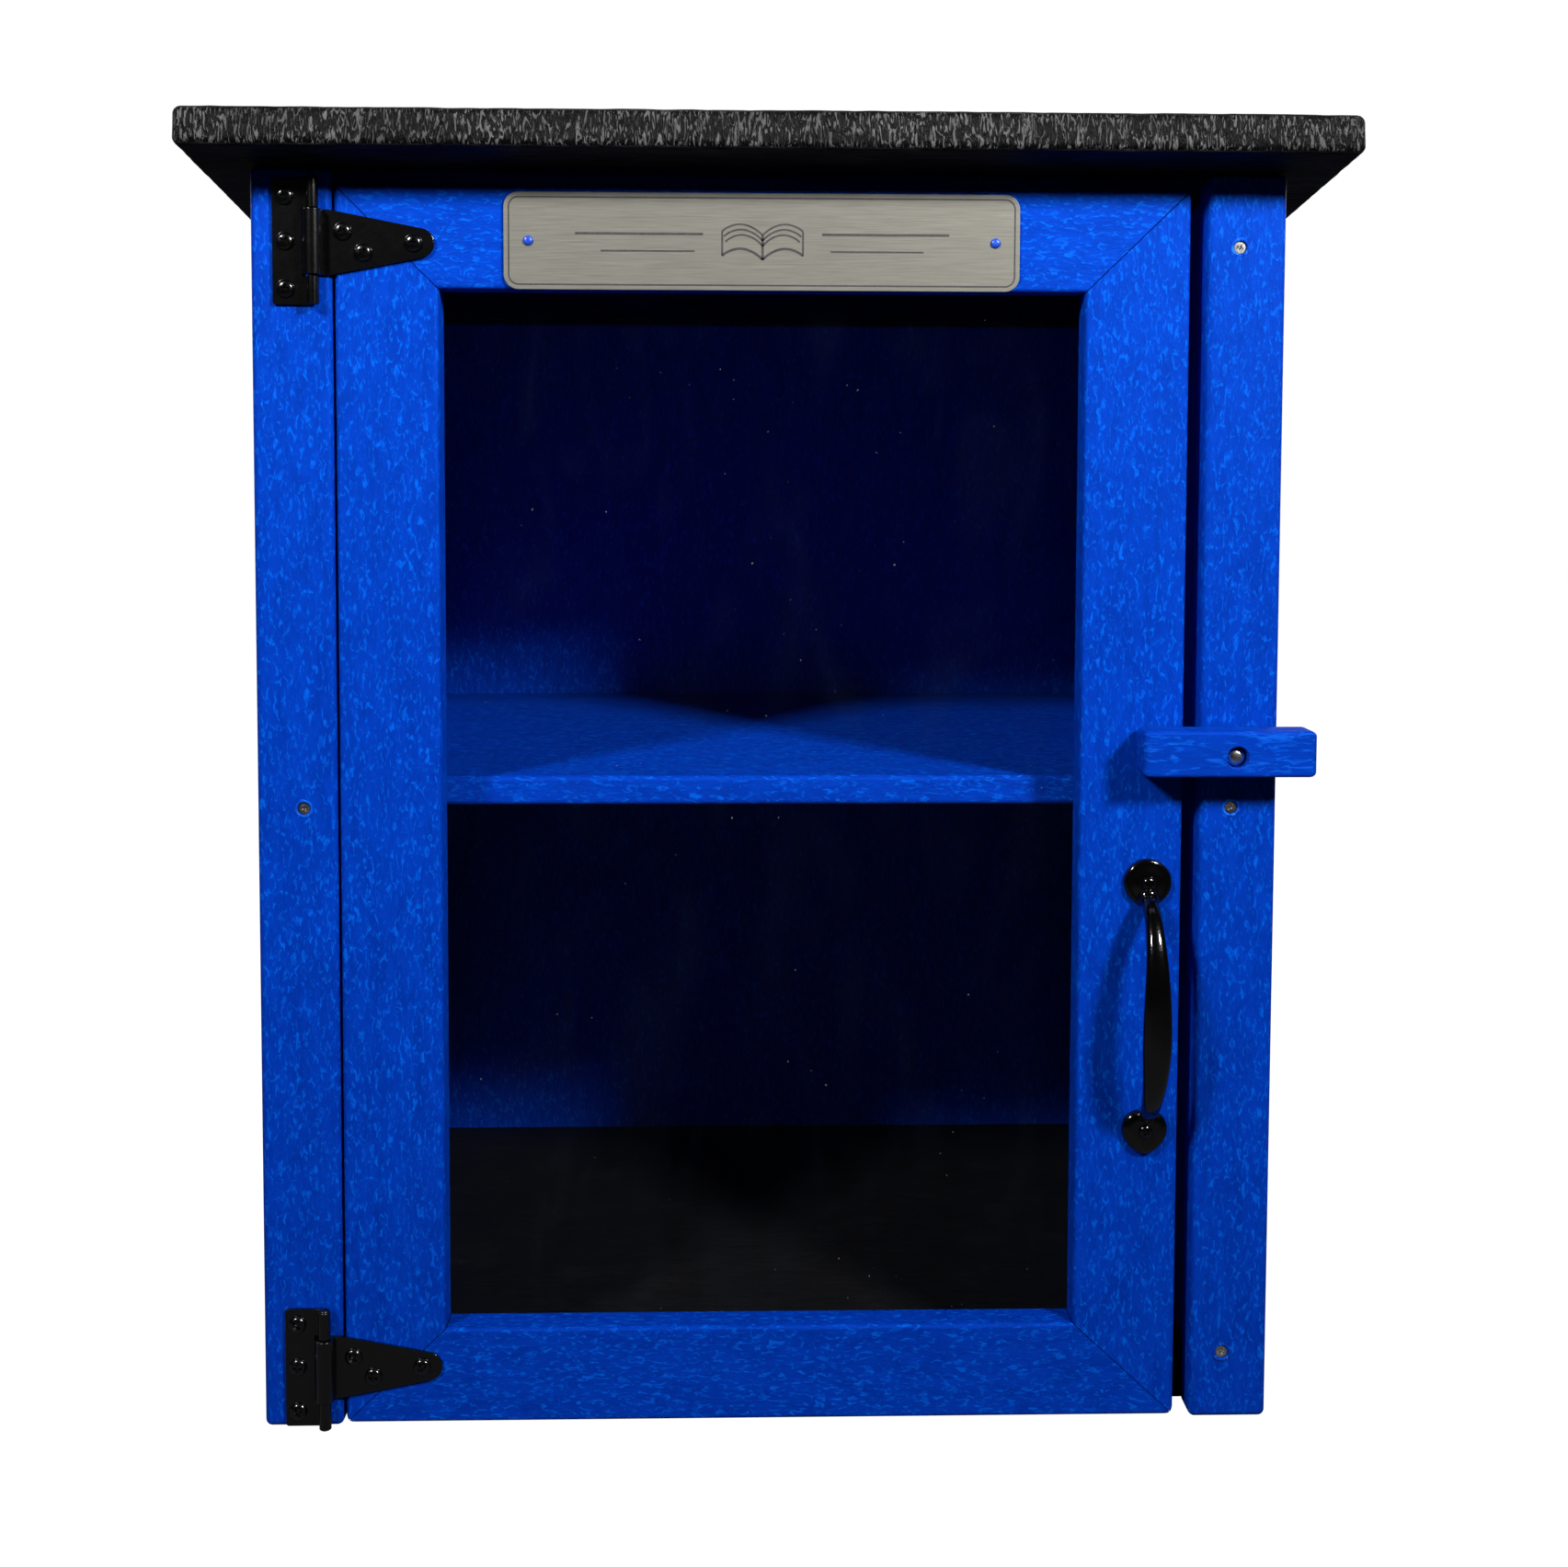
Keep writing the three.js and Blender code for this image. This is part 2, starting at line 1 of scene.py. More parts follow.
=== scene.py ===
"""Looks of a book exchange cabinet made of recycled plastic boards.

Metres, +Z up, the door faces -Y. Every piece is built where the frame's own solid of the same
name lies, so sizes and places come from the frame, and only the fine shape is added here.
"""

import logging
import math
from collections.abc import Callable, Iterable
from dataclasses import dataclass, field
from enum import Enum

import bmesh
import bpy
from mathutils import Matrix, Vector, noise


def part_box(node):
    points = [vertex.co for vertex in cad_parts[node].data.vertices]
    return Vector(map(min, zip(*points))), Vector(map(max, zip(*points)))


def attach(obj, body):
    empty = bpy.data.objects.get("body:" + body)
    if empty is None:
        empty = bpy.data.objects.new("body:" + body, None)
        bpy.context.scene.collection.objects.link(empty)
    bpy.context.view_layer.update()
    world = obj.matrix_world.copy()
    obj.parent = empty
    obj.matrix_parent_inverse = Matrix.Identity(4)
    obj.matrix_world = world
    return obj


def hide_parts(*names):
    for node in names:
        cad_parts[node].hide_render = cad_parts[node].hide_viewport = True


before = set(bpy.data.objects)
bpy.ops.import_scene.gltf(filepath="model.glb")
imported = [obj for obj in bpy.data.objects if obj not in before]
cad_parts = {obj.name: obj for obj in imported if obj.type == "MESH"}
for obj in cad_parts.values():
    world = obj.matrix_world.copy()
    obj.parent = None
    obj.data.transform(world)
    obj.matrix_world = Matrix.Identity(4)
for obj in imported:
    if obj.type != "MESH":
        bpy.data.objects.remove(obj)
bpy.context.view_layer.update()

LOG = logging.getLogger("cabinet")
MM = 0.001
ROOF_SLOPE = math.radians(7)
BOARD = 19 * MM

Point = tuple[float, float, float]
Profile = list[tuple[float, float]]
Cut = Callable[[float, float], float]


# ------------------------------------------------------------------ named options


class Run(Enum):
    """The axis that a board, and its grain, runs along."""

    X = 0
    Y = 1
    Z = 2


class Drive(Enum):
    """What a screwdriver finds in a screw's head."""

    NONE = 0
    CROSS = 1


# ------------------------------------------------------------------ frame readings


def corners(node: str) -> tuple[Vector, Vector]:
    """Lowest and highest corners of a frame node.

    Args:
        node: the node's name.

    Returns:
        The two corners, in metres.
    """
    low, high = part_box(node)
    return Vector(low), Vector(high)


def middle(node: str) -> Vector:
    """Centre of a frame node's box."""
    low, high = corners(node)
    return (low + high) / 2


# ------------------------------------------------------------------ shader building


class Graph:
    """A material whose nodes are added one call at a time."""

    def __init__(self, name: str) -> None:
        """Starts an empty material.

        Args:
            name: the material's name.
        """
        self.material = bpy.data.materials.new(name)
        self.material.use_nodes = True
        self.tree = self.material.node_tree
        self.tree.nodes.clear()
        self.output = self.node("ShaderNodeOutputMaterial")

    def node(self, kind: str, inputs: dict | None = None, **settings: object) -> bpy.types.Node:
        """Adds a node.

        Args:
            kind: the node's type name.
            inputs: socket names or numbers, each with a value or another node's socket.
            settings: attributes of the node itself.

        Returns:
            The new node.
        """
        made = self.tree.nodes.new(kind)
        for name, value in settings.items():
            setattr(made, name, value)
        for key, value in (inputs or {}).items():
            if isinstance(value, bpy.types.NodeSocket):
                self.tree.links.new(value, made.inputs[key])
            else:
                made.inputs[key].default_value = value
        return made

    def object_points(self, scale: Point, offset: Point = (0, 0, 0)) -> bpy.types.NodeSocket:
        """The surface's place in metres, stretched.

        Args:
            scale: factor along each axis.
            offset: added after the factor.

        Returns:
            A vector socket.
        """
        place = self.node("ShaderNodeTexCoord")
        mapping = self.node(
            "ShaderNodeMapping", {"Vector": place.outputs["Object"], "Scale": scale, "Location": offset}
        )
        return mapping.outputs["Vector"]

    def clouds(
        self,
        vector: bpy.types.NodeSocket,
        scale: float,
        detail: float = 3,
        rough: float = 0.55,
        warp: float = 0,
    ) -> bpy.types.NodeSocket:
        """Fractal noise, as a number from about 0 to 1.

        Args:
            vector: where it is read.
            scale: factor on the vector.
            detail: how many finer layers are added.
            rough: how strong the finer layers are.
            warp: how far the pattern is twisted.

        Returns:
            A number socket.
        """
        return self.node(
            "ShaderNodeTexNoise",
            {"Vector": vector, "Scale": scale, "Detail": detail, "Roughness": rough, "Distortion": warp},
        ).outputs["Fac"]

    def ramp(self, fac: bpy.types.NodeSocket, stops: list[tuple[float, tuple]]) -> bpy.types.NodeSocket:
        """Colours along a number.

        Args:
            fac: the number.
            stops: places from 0 to 1, each with a colour of three numbers.

        Returns:
            A colour socket.
        """
        made = self.node("ShaderNodeValToRGB", {"Fac": fac})
        points = made.color_ramp.elements
        while len(points) < len(stops):
            points.new(0.5)
        for point, (place, colour) in zip(points, stops):
            point.position = place
            point.color = (*colour, 1)
        return made.outputs["Color"]

    def window(self, fac: bpy.types.NodeSocket, low: float, high: float) -> bpy.types.NodeSocket:
        """A number moved to run from 0 at low to 1 at high, and held outside.

        Args:
            fac: the number.
            low: what becomes 0.
            high: what becomes 1.

        Returns:
            A number socket.
        """
        return self.node(
            "ShaderNodeMapRange", {"Value": fac, "From Min": low, "From Max": high}, clamp=True
        ).outputs["Result"]

    def span(self, fac: bpy.types.NodeSocket, low: float, high: float) -> bpy.types.NodeSocket:
        """A number from 0 to 1 moved to run from low to high."""
        made = self.node("ShaderNodeMapRange", {"Value": fac, "To Min": low, "To Max": high})
        return made.outputs["Result"]

    def blend(
        self, fac: bpy.types.NodeSocket | float, a: object, b: object, mode: str = "MIX"
    ) -> bpy.types.NodeSocket:
        """Two colours mixed.

        Args:
            fac: share of the second colour.
            a: the first colour, as a socket or three numbers.
            b: the second colour, in the same way.
            mode: Blender's name for the way of mixing.

        Returns:
            A colour socket.
        """
        made = self.node("ShaderNodeMix", {0: fac}, data_type="RGBA", blend_type=mode)
        for key, value in ((6, a), (7, b)):
            if isinstance(value, bpy.types.NodeSocket):
                self.tree.links.new(value, made.inputs[key])
            else:
                made.inputs[key].default_value = (*value, 1)
        return made.outputs[2]

    def sums(self, a: bpy.types.NodeSocket, b: bpy.types.NodeSocket, share: float) -> bpy.types.NodeSocket:
        """The first number plus a share of the second."""
        part = self.node("ShaderNodeMath", {0: b, 1: share}, operation="MULTIPLY").outputs[0]
        return self.node("ShaderNodeMath", {0: a, 1: part}, operation="ADD").outputs[0]

    def bump(self, height: bpy.types.NodeSocket, depth: float, strength: float = 1) -> bpy.types.NodeSocket:
        """Relief as a normal.

        Args:
            height: the relief, from 0 to 1.
            depth: its full depth, in metres.
            strength: how much of it shows.

        Returns:
            A vector socket.
        """
        return self.node(
            "ShaderNodeBump", {"Height": height, "Distance": depth, "Strength": strength}
        ).outputs["Normal"]

    def finish(self, inputs: dict) -> bpy.types.Material:
        """Adds the surface shader and ends the material.

        Args:
            inputs: the Principled shader's sockets.

        Returns:
            The finished material.
        """
        shader = self.node("ShaderNodeBsdfPrincipled", inputs)
        self.tree.links.new(shader.outputs[0], self.output.inputs["Surface"])
        return self.material


# ------------------------------------------------------------------ finishes


@dataclass(frozen=True)
class BlueLumber:
    """Streaky blue recycled polyethylene with fibrous flecks along the board.

    Attributes:
        run: the axis of the grain.
        deep: colour of the ground.
        plain: colour of most of the face.
        fleck: colour of the bright fibres.
        fibre: how many fibres in a metre, along the grain and across it.
        slot: the record's name for the material; not used.
    """

    run: Run
    deep: Point = (0.0003, 0.0215, 0.262)
    plain: Point = (0.0004, 0.029, 0.33)
    fleck: Point = (0.0008, 0.088, 0.56)
    fibre: tuple[float, float] = (215, 500)
    slot: str = "blue_board"

    def stretch(self, along: float, across: float) -> Point:
        """Noise factors that draw marks out along the grain.

        Args:
            along: factor on the board's run.
            across: factor on the other two axes.

        Returns:
            One factor for each axis.
        """
        factors = [across] * 3
        factors[self.run.value] = along
        return tuple(factors)

    def build(self) -> bpy.types.Material:
        """Makes the material.

        Returns:
            The finished material.
        """
        g = Graph(f"blue_lumber_{self.run.name.lower()}")
        fibres = g.clouds(g.object_points(self.stretch(*self.fibre)), 1, 3, 0.55, 0.9)
        mottle = g.clouds(g.object_points(self.stretch(45, 130), (3, 1, 2)), 1, 3, 0.6, 0.6)
        hairs = g.clouds(g.object_points(self.stretch(150, 1100), (7, 5, 1)), 1, 2, 0.5)
        worn = g.clouds(g.object_points(self.stretch(9, 14), (1, 8, 4)), 1, 2, 0.5)
        ground = g.ramp(mottle, [(0.34, self.deep), (0.62, self.plain)])
        flecks = g.window(fibres, 0.535, 0.68)
        colour = g.blend(g.span(flecks, 0, 0.85), ground, self.fleck)
        colour = g.blend(g.span(g.window(hairs, 0.6, 0.75), 0, 0.35), colour, self.fleck)
        colour = g.blend(g.span(g.window(worn, 0.35, 0.7), 0, 0.16), colour, self.deep)
        relief = g.sums(fibres, hairs, 0.45)
        return g.finish({
            "Base Color": colour,
            "Roughness": g.span(fibres, 0.44, 0.62),
            "Specular IOR Level": 0.2,
            "Specular Tint": (0.06, 0.4, 1, 1),
            "Normal": g.bump(relief, 0.00028, 0.8),
        })


@dataclass(frozen=True)
class BlackRoof:
    """Black polyethylene board with a rippled wood grain, with a painted highlight on its ridges and crests
    and painted shade in its hollows.

    Attributes:
        slot: the record's name for the material; not used.
    """

    slot: str = "black_board"

    def build(self) -> bpy.types.Material:
        """Makes the material.

        Returns:
            The finished material.
        """
        g = Graph("black_roof_grain_painted_highlight")
        facing = g.node("ShaderNodeSeparateXYZ", {0: g.node("ShaderNodeTexCoord").outputs["Normal"]})
        upright = g.node("ShaderNodeMath", {0: facing.outputs["Y"]}, operation="ABSOLUTE").outputs[0]
        upright = g.window(upright, 0.6, 0.8)
        grooves = g.clouds(g.object_points((24, 170, 300)), 1, 5, 0.62, 1.6)
        bark = g.clouds(g.object_points((480, 200, 120), (2, 0, 5)), 1, 2, 0.5, 1.9)
        pores = g.clouds(g.object_points((700, 900, 500), (4, 2, 9)), 1, 3, 0.6)
        patches = g.clouds(g.object_points((22, 22, 60), (1, 1, 3)), 1, 3, 0.6)
        grain = g.node("ShaderNodeMix", {0: upright, 2: grooves, 3: bark}).outputs[0]
        relief = g.sums(grain, pores, 0.22)
        # Painted highlight and painted shade: the grain's ridges are coloured lighter and its hollows darker.
        colour = g.ramp(grain, [(0.36, (0.002, 0.002, 0.0024)), (0.66, (0.026, 0.026, 0.0285))])
        painted_highlight_crests = g.node("ShaderNodeMath", {0: upright, 1: g.window(bark, 0.53, 0.62)}, operation="MULTIPLY")
        # Front and back faces are darkened almost to black, so that the painted highlights on the ripple
        # crests stand out.
        colour = g.blend(g.span(upright, 0, 0.9), colour, (0.0008, 0.0008, 0.0009))
        # Painted highlight: the ripple crests on the front and back faces are coloured pale grey.
        colour = g.blend(painted_highlight_crests.outputs[0], colour, (0.084, 0.082, 0.081))
        colour = g.blend(g.span(g.window(patches, 0.4, 0.7), 0, 0.6), colour, (0.0012, 0.0012, 0.0013))
        return g.finish({
            "Base Color": colour,
            "Roughness": g.span(patches, 0.36, 0.6),
            "Specular IOR Level": 0.06,
            "Normal": g.bump(relief, 0.0016, 0.9),
        })


@dataclass(frozen=True)
class BlackFloor:
    """Black polyethylene board with a low grain, scuffed and a little dusty.

    Attributes:
        slot: the record's name for the material; not used.
    """

    slot: str = "black_board"

    def build(self) -> bpy.types.Material:
        """Makes the material.

        Returns:
            The finished material.
        """
        g = Graph("black_floor")
        grain = g.clouds(g.object_points((60, 500, 500)), 1, 4, 0.6, 0.5)
        dust = g.clouds(g.object_points((30, 30, 30), (5, 2, 0)), 1, 5, 0.7)
        colour = g.ramp(grain, [(0.35, (0.0012, 0.0012, 0.0013)), (0.7, (0.0035, 0.0035, 0.0037))])
        colour = g.blend(g.span(g.window(dust, 0.55, 0.8), 0, 0.3), colour, (0.012, 0.012, 0.012))
        return g.finish({
            "Base Color": colour,
            "Roughness": g.span(dust, 0.5, 0.75),
            "Specular IOR Level": 0.2,
            "Normal": g.bump(grain, 0.0003, 0.7),
        })


@dataclass(frozen=True)
class Enamel:
    """Glossy black paint on metal, with a faint orange-peel skin and rubbed high spots.

    Attributes:
        name: the material's name.
        slot: the record's name for the material; not used.
        gloss: its lowest roughness.
        peel: depth of the orange peel, in metres.
    """

    name: str
    slot: str
    gloss: float
    peel: float

    def build(self) -> bpy.types.Material:
        """Makes the material.

        Returns:
            The finished material.
        """
        g = Graph(self.name)
        skin = g.clouds(g.object_points((650, 650, 650)), 1, 2, 0.5)
        rubbed = g.clouds(g.object_points((120, 120, 120), (1, 4, 2)), 1, 4, 0.65)
        wear = g.window(rubbed, 0.6, 0.8)
        return g.finish({
            "Base Color": g.blend(g.span(wear, 0, 0.5), (0.0008, 0.0008, 0.0009), (0.004, 0.004, 0.0045)),
            "Roughness": g.span(rubbed, self.gloss, self.gloss + 0.1),
            "Specular IOR Level": 0.3,
            "Coat Weight": 0.6,
            "Coat Roughness": 0.06,
            "Normal": g.bump(skin, self.peel, 0.6),
        })


@dataclass(frozen=True)
class Stainless:
    """Stainless steel with fine turning marks and a little tarnish.

    Attributes:
        slot: the record's name for the material; not used.
    """

    slot: str = "stainless"

    def build(self) -> bpy.types.Material:
        """Makes the material.

        Returns:
            The finished material.
        """
        g = Graph("stainless_steel")
        marks = g.clouds(g.object_points((900, 900, 2600)), 1, 2, 0.5)
        tarnish = g.clouds(g.object_points((240, 240, 240), (2, 2, 1)), 1, 3, 0.6)
        return g.finish({
            "Base Color": g.ramp(tarnish, [(0.3, (0.5, 0.49, 0.46)), (0.65, (0.8, 0.8, 0.79))]),
            "Metallic": 1.0,
            "Roughness": g.span(tarnish, 0.16, 0.34),
            "Normal": g.bump(marks, 0.00006, 0.6),
        })


@dataclass(frozen=True)
class BrushedPlate:
    """Champagne anodised aluminium, brushed along its length.

    Attributes:
        slot: the record's name for the material; not used.
    """

    slot: str = "plate_metal"

    def build(self) -> bpy.types.Material:
        """Makes the material.

        Returns:
            The finished material.
        """
        g = Graph("champagne_plate")
        brush = g.clouds(g.object_points((60, 900, 5200)), 1, 3, 0.6)
        cloudy = g.clouds(g.object_points((18, 18, 60), (6, 0, 1)), 1, 3, 0.5)
        colour = g.ramp(brush, [(0.3, (0.14, 0.134, 0.112)), (0.7, (0.215, 0.208, 0.178))])
        return g.finish({
            "Base Color": g.blend(g.span(cloudy, 0.1, 0.35), colour, (0.14, 0.136, 0.118)),
            "Metallic": 0.55,
            "Roughness": g.span(brush, 0.36, 0.52),
            "Normal": g.bump(brush, 0.00004, 0.5),
        })


@dataclass(frozen=True)
class Ink:
    """Black printed line, thin and matte.

    Attributes:
        slot: the record's name for the material; not used.
    """

    slot: str = "plate_metal"

    def build(self) -> bpy.types.Material:
        """Makes the material.

        Returns:
            The finished material.
        """
        g = Graph("plate_ink")
        print_grain = g.clouds(g.object_points((900, 900, 900)), 1, 2, 0.5)
        return g.finish({
            "Base Color": g.ramp(print_grain, [(0.3, (0.012, 0.012, 0.013)), (0.8, (0.035, 0.034, 0.033))]),
            "Roughness": g.span(print_grain, 0.45, 0.6),
        })


@dataclass(frozen=True)
class ClearSheet:
    """Clear acrylic, almost invisible face on, with faint wiping marks.

    Attributes:
        name: the material's name.
        alpha: how solid it is where clean and where wiped.
        tint: colour of its haze.
        slot: the record's name for the material; not used.
    """

    name: str = "clear_acrylic"
    alpha: tuple[float, float] = (0.012, 0.035)
    tint: Point = (0.008, 0.012, 0.02)
    slot: str = "clear_sheet"

    def build(self) -> bpy.types.Material:
        """Makes the material.

        Returns:
            The finished material.
        """
        g = Graph(self.name)
        wipes = g.clouds(g.object_points((26, 26, 9), (3, 3, 0)), 1, 4, 0.6, 1.2)
        specks = g.clouds(g.object_points((420, 420, 420), (1, 0, 7)), 1, 2, 0.5)
        marks = g.window(wipes, 0.5, 0.8)
        dust = g.window(specks, 0.775, 0.81)
        haze = g.blend(marks, self.tint, tuple(min(1, 3 * c) for c in self.tint))
        return g.finish({
            "Base Color": g.blend(dust, haze, (0.2, 0.21, 0.22)),
            "Roughness": g.span(wipes, 0.03, 0.12),
            "Specular IOR Level": 0.6,
            "Alpha": g.sums(g.span(marks, *self.alpha), dust, 0.5),
        })


@dataclass(frozen=True)
class BlueCap:
    """Blue lacquer on a small screw head.

    Attributes:
        slot: the record's name for the material; not used.
    """

    slot: str = "blue_cap"

    def build(self) -> bpy.types.Material:
        """Makes the material.

        Returns:
            The finished material.
        """
        g = Graph("blue_cap")
        skin = g.clouds(g.object_points((800, 800, 800)), 1, 2, 0.5)
        return g.finish({
            "Base Color": g.ramp(skin, [(0.3, (0.004, 0.03, 0.28)), (0.7, (0.01, 0.06, 0.42))]),
            "Roughness": g.span(skin, 0.25, 0.4),
            "Normal": g.bump(skin, 0.00005, 0.4),
        })


class Paintbox:
    """Builds each finish once and hands it out."""

    def __init__(self) -> None:
        """Starts with nothing built."""
        self.built: dict[object, bpy.types.Material] = {}

    def dress(self, piece: bpy.types.Object, *finishes: object) -> None:
        """Gives a piece its materials.

        Args:
            piece: the object.
            finishes: one for each of its material indices.
        """
        piece.data.materials.clear()
        for finish in finishes:
            if finish not in self.built:
                self.built[finish] = finish.build()
            piece.data.materials.append(self.built[finish])


PAINT = Paintbox()
HINGE_ENAMEL = Enamel("hinge_enamel", "black_enamel", 0.17, 0.00008)
HANDLE_ENAMEL = Enamel("handle_enamel", "handle_metal", 0.09, 0.00012)


# ------------------------------------------------------------------ mesh building


def make_object(name: str, vertices: Iterable[Point], faces: list, body: str) -> bpy.types.Object:
    """Makes a smooth-shaded mesh object that rides on a body.

    Args:
        name: the piece's name.
        vertices: places in metres.
        faces: lists of vertex numbers.
        body: the body it moves with.

    Returns:
        The object.
    """
    mesh = bpy.data.meshes.new(name)
    mesh.from_pydata([tuple(v) for v in vertices], [], faces)
    mesh.validate()
    made = bpy.data.objects.new(name, mesh)
    bpy.context.scene.collection.objects.link(made)
    mesh.shade_smooth()
    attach(made, body)
    return made


def even_shading(piece: bpy.types.Object) -> None:
    """Lets the broad faces decide the normals, so that rounded edges read as round."""
    modifier = piece.modifiers.new("even_shading", "WEIGHTED_NORMAL")
    modifier.weight = 90


def turn_outward(piece: bpy.types.Object) -> None:
    """Turns a closed mesh's faces outward.

    Args:
        piece: the mesh's object.
    """
    work = bmesh.new()
    work.from_mesh(piece.data)
    bmesh.ops.recalc_face_normals(work, faces=work.faces)
    work.to_mesh(piece.data)
    work.free()


def sharpen(piece: bpy.types.Object, degrees: float = 35) -> None:
    """Marks edges sharper than an angle, so that they stay crisp.

    Args:
        piece: the mesh's object.
        degrees: the angle.
    """
    mesh = piece.data
    work = bmesh.new()
    work.from_mesh(mesh)
    for edge in work.edges:
        if len(edge.link_faces) == 2:
            edge.smooth = edge.calc_face_angle() < math.radians(degrees)
    work.to_mesh(mesh)
    work.free()


def round_rectangle(
    width: float, height: float, radius: float, inset: float = 0, steps: int = 4, cell: float | None = None
) -> Profile:
    """Rectangle with round corners about the origin, anticlockwise.

    Args:
        width: full size along the first axis.
        height: full size along the second.
        radius: of the corners.
        inset: how far in from the full outline.
        steps: pieces in each corner.
        cell: largest spacing of points along the flats, if any are wanted.

    Returns:
        The outline, with the same number of points whatever the inset.
    """
    corner = max(radius - inset, 0.0001)
    half = (width / 2 - inset - corner, height / 2 - inset - corner)
    points: Profile = []
    for quarter, (sx, sy) in enumerate(((1, -1), (1, 1), (-1, 1), (-1, -1))):
        for step in range(steps + 1):
            angle = (quarter - 1 + step / steps) * math.pi / 2
            points.append((sx * half[0] + corner * math.cos(angle), sy * half[1] + corner * math.sin(angle)))
        if cell:
            flat = height - 2 * radius if quarter % 2 == 0 else width - 2 * radius
            count = max(1, round(flat / cell))
            start = points[-1]
            turn = quarter * math.pi / 2
            run = (2 * half[1] if quarter % 2 == 0 else 2 * half[0]) / count
            step_x, step_y = -math.sin(turn) * run, math.cos(turn) * run
            points += [(start[0] + step_x * k, start[1] + step_y * k) for k in range(1, count)]
    return points


def loft(rings: list[list[Point]], closed: bool = False) -> tuple[list[Point], list[list[int]]]:
    """Skins rings of equal length, and caps the two ends.

    Args:
        rings: anticlockwise outlines, each further along the run than the last.
        closed: whether the last ring joins the first instead.

    Returns:
        Vertices and faces.
    """
    count = len(rings[0])
    vertices = [point for ring in rings for point in ring]
    faces = []
    pairs = len(rings) if closed else len(rings) - 1
    for i in range(pairs):
        first, second = i * count, ((i + 1) % len(rings)) * count
        for j in range(count):
            k = (j + 1) % count
            faces.append([first + j, first + k, second + k, second + j])
    if not closed:
        faces.append(list(range(count))[::-1])
        faces.append([(len(rings) - 1) * count + j for j in range(count)])
    return vertices, faces


def no_cut(_first: float, _second: float) -> float:
    """A square end."""
    return 0.0


@dataclass
class Board:
    """A straight board with rounded edges, lofted along its run.

    Attributes:
        node: the frame's solid that it stands for, and its name.
        body: the body it moves with.
        run: the axis that it runs along.
        edge: radius of the long edges.
        end: radius of the edges at the two ends.
        start_cut: how far the low end is cut back, by place across the board.
        stop_cut: the same at the high end.
        cell: largest spacing of stations along the run.
        side_cell: largest spacing of points across the faces, if any are wanted.
        low: its lowest corner, from the frame.
        high: its highest corner, from the frame.
    """

    node: str
    body: str
    run: Run
    edge: float = 3 * MM
    end: float = 3 * MM
    start_cut: Cut = no_cut
    stop_cut: Cut = no_cut
    cell: float = 60 * MM
    side_cell: float | None = None
    low: Vector = field(init=False)
    high: Vector = field(init=False)

    def __post_init__(self) -> None:
        """Takes the board's corners from the frame."""
        self.low, self.high = corners(self.node)

    def stations(self, length: float) -> list[tuple[float, float, float]]:
        """Places along the run.

        Args:
            length: of the board.

        Returns:
            For each: share of the straight part, extra distance at the ends, and inset.
        """
        steps = 4
        turn = [(step / steps) * math.pi / 2 for step in range(steps + 1)]
        rounding = [(self.end * (1 - math.cos(a)), self.end * (1 - math.sin(a))) for a in turn]
        count = max(1, round((length - 2 * self.end) / self.cell))
        inner = [(k / count, 0.0, 0.0) for k in range(1, count)]
        first = [(0.0, along - self.end, inset) for along, inset in rounding]
        last = [(1.0, self.end - along, inset) for along, inset in reversed(rounding)]
        return first + inner + last

    def rings(self) -> list[list[Point]]:
        """Outlines across the board.

        Returns:
            One outline for each station, from the low end to the high end.
        """
        r = self.run.value
        a, b = (r + 1) % 3, (r + 2) % 3
        centre = (self.low + self.high) / 2
        size = self.high - self.low
        made = []
        for share, extra, inset in self.stations(size[r]):
            ring = []
            for u, v in round_rectangle(size[a], size[b], self.edge, inset, cell=self.side_cell):
                place = [0.0, 0.0, 0.0]
                place[a], place[b] = centre[a] + u, centre[b] + v
                start = self.low[r] + self.start_cut(place[a], place[b]) + self.end
                stop = self.high[r] - self.stop_cut(place[a], place[b]) - self.end
                place[r] = start + share * (stop - start) + extra
                ring.append(tuple(place))
            made.append(ring)
        return made

    def build(self, finish: object) -> bpy.types.Object:
        """Makes the board, dressed and standing for its node.

        Args:
            finish: of the board.

        Returns:
            The board's object.
        """
        vertices, faces = loft(self.rings())
        piece = make_object(f"{self.node}_look", vertices, faces, self.body)
        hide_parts(self.node)
        PAINT.dress(piece, finish)
        even_shading(piece)
        return piece


def turned(
    name: str, profile: Profile, seat: Vector, outward: Vector, body: str, sides: int = 32
) -> bpy.types.Object:
    """Makes a turned piece.

    Args:
        name: the piece's name.
        profile: radius and height pairs, from the lowest to the highest.
        seat: where height 0 lies.
        outward: direction of growing height.
        body: the body it moves with.
        sides: steps round.

    Returns:
        The object.
    """
    turn = Vector((0, 0, 1)).rotation_difference(outward).to_matrix()
    rings = []
    for radius, height in profile:
        ring = []
        for k in range(sides):
            angle = 2 * math.pi * k / sides
            local = Vector((max(radius, 1e-5) * math.cos(angle), max(radius, 1e-5) * math.sin(angle), height))
            ring.append(tuple(seat + turn @ local))
        rings.append(ring)
    vertices, faces = loft(rings)
    piece = make_object(name, vertices, faces, body)
    sharpen(piece, 40)
    return piece


